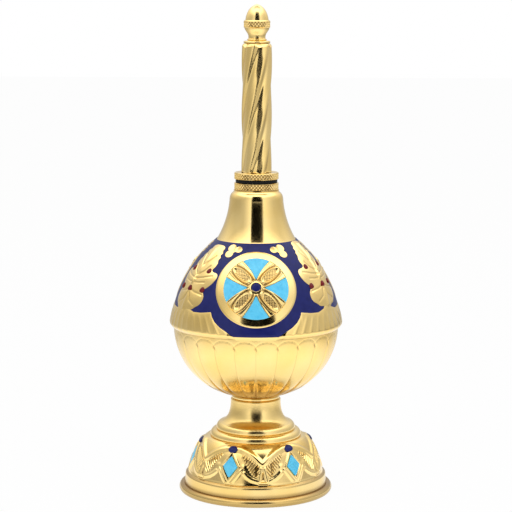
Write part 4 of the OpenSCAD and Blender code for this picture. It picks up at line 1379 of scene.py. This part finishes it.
# Brightness round the studio: degrees to the right of the front, and shade
SCREEN = ((-180, 0.60), (-130, 0.58), (-95, 0.50), (-70, 0.52), (-52, 0.66), (-38, 0.92), (-26, 1.20),
          (-21.5, 1.34), (-20, 0.0), (26, 0.0), (27.5, 1.38), (33, 1.28), (44, 1.06), (58, 0.88), (76, 0.68),
          (110, 0.62), (180, 0.62))
# The same above the height of the object
UPPER = ((-180, 1.02), (-115, 1.0), (-88, 0.74), (-52, 0.68), (-38, 0.90), (-21, 1.25), (26, 1.30),
         (46, 1.05), (62, 0.90), (90, 0.80), (115, 0.98), (180, 1.02))
# The dark opening in front, in degrees, and its soft side in radians
DARK_FROM, DARK_TO = -20, 26
DARK_SOFT = 0.03
# Heights in metres between which the sill, the upper walls, the white top and the opening's lintel set in
SILL = (0.07, 0.12)
LIFT = (0.22, 0.75)
TOP = (0.85, 1.7)
LINTEL = (1.8, 2.1)
SILL_SHADE = 0.95
TOP_SHADE = 2.1
# The ceiling, brightest towards the front: metres from front to back, and shades
CEILING = (-0.5, 0.2)
CEILING_FRONT, CEILING_BACK = 2.3, 0.8
# Brightness of the floor: metres from the object's axis, and shade
BOUNCE = ((0.0, 0.70), (0.036, 0.85), (0.045, 1.15), (0.11, 1.38), (0.19, 1.26), (0.30, 0.96), (0.50, 0.86),
          (0.85, 0.78))
# How it dims behind, to the right and to the left: from and to where in metres, and by what share
FLOOR_DIM = ((-0.03, 0.10, 0.2), (0.12, 0.5, 0.28), (0.05, 0.25, 0.12))
CARD_SIZE = 2.6
CARD_Z = 0.0003
MAT_AT = (0.06, -0.82, 0.002)
MAT_SIZE = (0.50, 0.76, 1)
MAT_SHADE = 0.005


def grey(shade):
    """The grey that gives a shade once it is multiplied by the sheets' glow."""
    return (shade / GLOW, shade / GLOW, shade / GLOW, 1)


def ramp(start, value, stops):
    """Shades between stops."""
    return start.add("ShaderNodeValToRGB", {"stops": [(at, grey(shade)) for at, shade in stops]}, {0: value})


def parts(start, place):
    """The three parts of a vector."""
    return [start.add("ShaderNodeSeparateXYZ", None, {0: place}, k) for k in range(3)]


def reflected(name, build):
    """Makes the sheet just added glow as build says, in reflections alone."""
    sheet = bpy.context.object
    sheet.name = name
    for ray in ("camera", "shadow", "diffuse", "transmission"):
        setattr(sheet, "visible_" + ray, False)
    material = bpy.data.materials.new(name)
    start = emptied(material)
    glow = start.add("ShaderNodeEmission", None, {"Color": build(start), "Strength": GLOW})
    start.add("ShaderNodeOutputMaterial", None, {"Surface": glow})
    sheet.data.materials.append(material)


def screen_shade(start):
    """Soft walls round the object, white above, with a dark opening in front."""
    x, y, z = parts(start, object_place(start))
    turn = x.math("ARCTAN2", x, y * -1)
    walls, higher = (ramp(start, turn * (1 / tau) + 0.5, [(t / 360 + 0.5, shade) for t, shade in stops])
                     for stops in (SCREEN, UPPER))

    def above(heights):
        """From 0 to 1 between two heights."""
        return spread(start, z, heights[0] - SCREEN_H / 2, heights[1] - SCREEN_H / 2, 0.0, 1.0)

    middle = radians((DARK_FROM + DARK_TO) / 2)
    half = radians((DARK_TO - DARK_FROM) / 2)
    clear = spread(start, turn.math("ABSOLUTE", turn - middle), half, half + DARK_SOFT, 0.0, 1.0)
    clear = clear.math("MAXIMUM", clear, above(LINTEL))
    shade = (above(LIFT) * clear).blend(walls, higher)
    shade = (above(TOP) * clear).blend(shade, grey(TOP_SHADE))
    return ((1 - above(SILL)) * (1 - clear)).blend(shade, grey(SILL_SHADE))


def ceiling_shade(start):
    """White overhead, brightest towards the front."""
    y = parts(start, object_place(start))[1]
    return spread(start, y, *CEILING, 0.0, 1.0).blend(grey(CEILING_FRONT), grey(CEILING_BACK))


def bounce_shade(start):
    """Light off the floor, dim close under the foot and strongest a little away from it."""
    place = object_place(start)
    far = start.add("ShaderNodeVectorMath", {"operation": "LENGTH"}, {0: place}, 1)
    x, y, _ = parts(start, place)
    behind, right, left = (spread(start, value, near, end, 0.0, share)
                           for value, (near, end, share) in zip((y, x, x * -1), FLOOR_DIM))
    return (behind + right + left).blend(ramp(start, far, BOUNCE), grey(0.0))


bpy.ops.mesh.primitive_cylinder_add(vertices=128, radius=SCREEN_R, depth=SCREEN_H, end_fill_type="NOTHING",
                                    location=(0, 0, SCREEN_H / 2))
reflected("screen", screen_shade)
bpy.ops.mesh.primitive_circle_add(vertices=128, radius=SCREEN_R, fill_type="NGON", location=(0, 0, SCREEN_H))
reflected("ceiling", ceiling_shade)
bpy.ops.mesh.primitive_plane_add(size=CARD_SIZE, location=(0, 0, CARD_Z))
reflected("bounce", bounce_shade)
bpy.ops.mesh.primitive_plane_add(size=1, location=MAT_AT)
bpy.context.object.scale = MAT_SIZE
reflected("dark_mat", lambda start: grey(MAT_SHADE))

# Pale floor and white surroundings

FLOOR_SIZE = 8
FLOOR_WHITE = (0.95, 0.95, 0.95, 1)
WHITE = (1, 1, 1, 1)
# How much of the floor is plain white where it is seen, and how strongly the surroundings light the object
FLOOR_PLAIN = 0.97
SKY_LIGHT = 0.4


def seen(start):
    """1 for a ray from the camera, off a shiny surface or through a clear one."""
    camera_ray, glossy, through = (start.add("ShaderNodeLightPath", out=ray)
                                   for ray in ("Is Camera Ray", "Is Glossy Ray", "Is Transmission Ray"))
    return start.math("MAXIMUM", start.math("MAXIMUM", camera_ray, glossy), through)


bpy.ops.mesh.primitive_plane_add(size=FLOOR_SIZE, location=(0, 0, 0))
floor = bpy.context.object
floor.name = "floor"
pale_floor = bpy.data.materials.new("pale_floor")
start = emptied(pale_floor)
lit = start.add("ShaderNodeBsdfDiffuse", None, {"Color": FLOOR_WHITE})
plain = start.add("ShaderNodeEmission", None, {"Color": WHITE, "Strength": 1.0})
mixed = start.add("ShaderNodeMixShader", None, {0: seen(start) * FLOOR_PLAIN, 1: lit, 2: plain})
start.add("ShaderNodeOutputMaterial", None, {"Surface": mixed})
floor.data.materials.append(pale_floor)

scene.world = bpy.data.worlds.new("white_studio")
start = emptied(scene.world)
strength = seen(start) * (1 - SKY_LIGHT) + SKY_LIGHT
white = start.add("ShaderNodeBackground", None, {"Color": WHITE, "Strength": strength})
start.add("ShaderNodeOutputWorld", None, {"Surface": white})
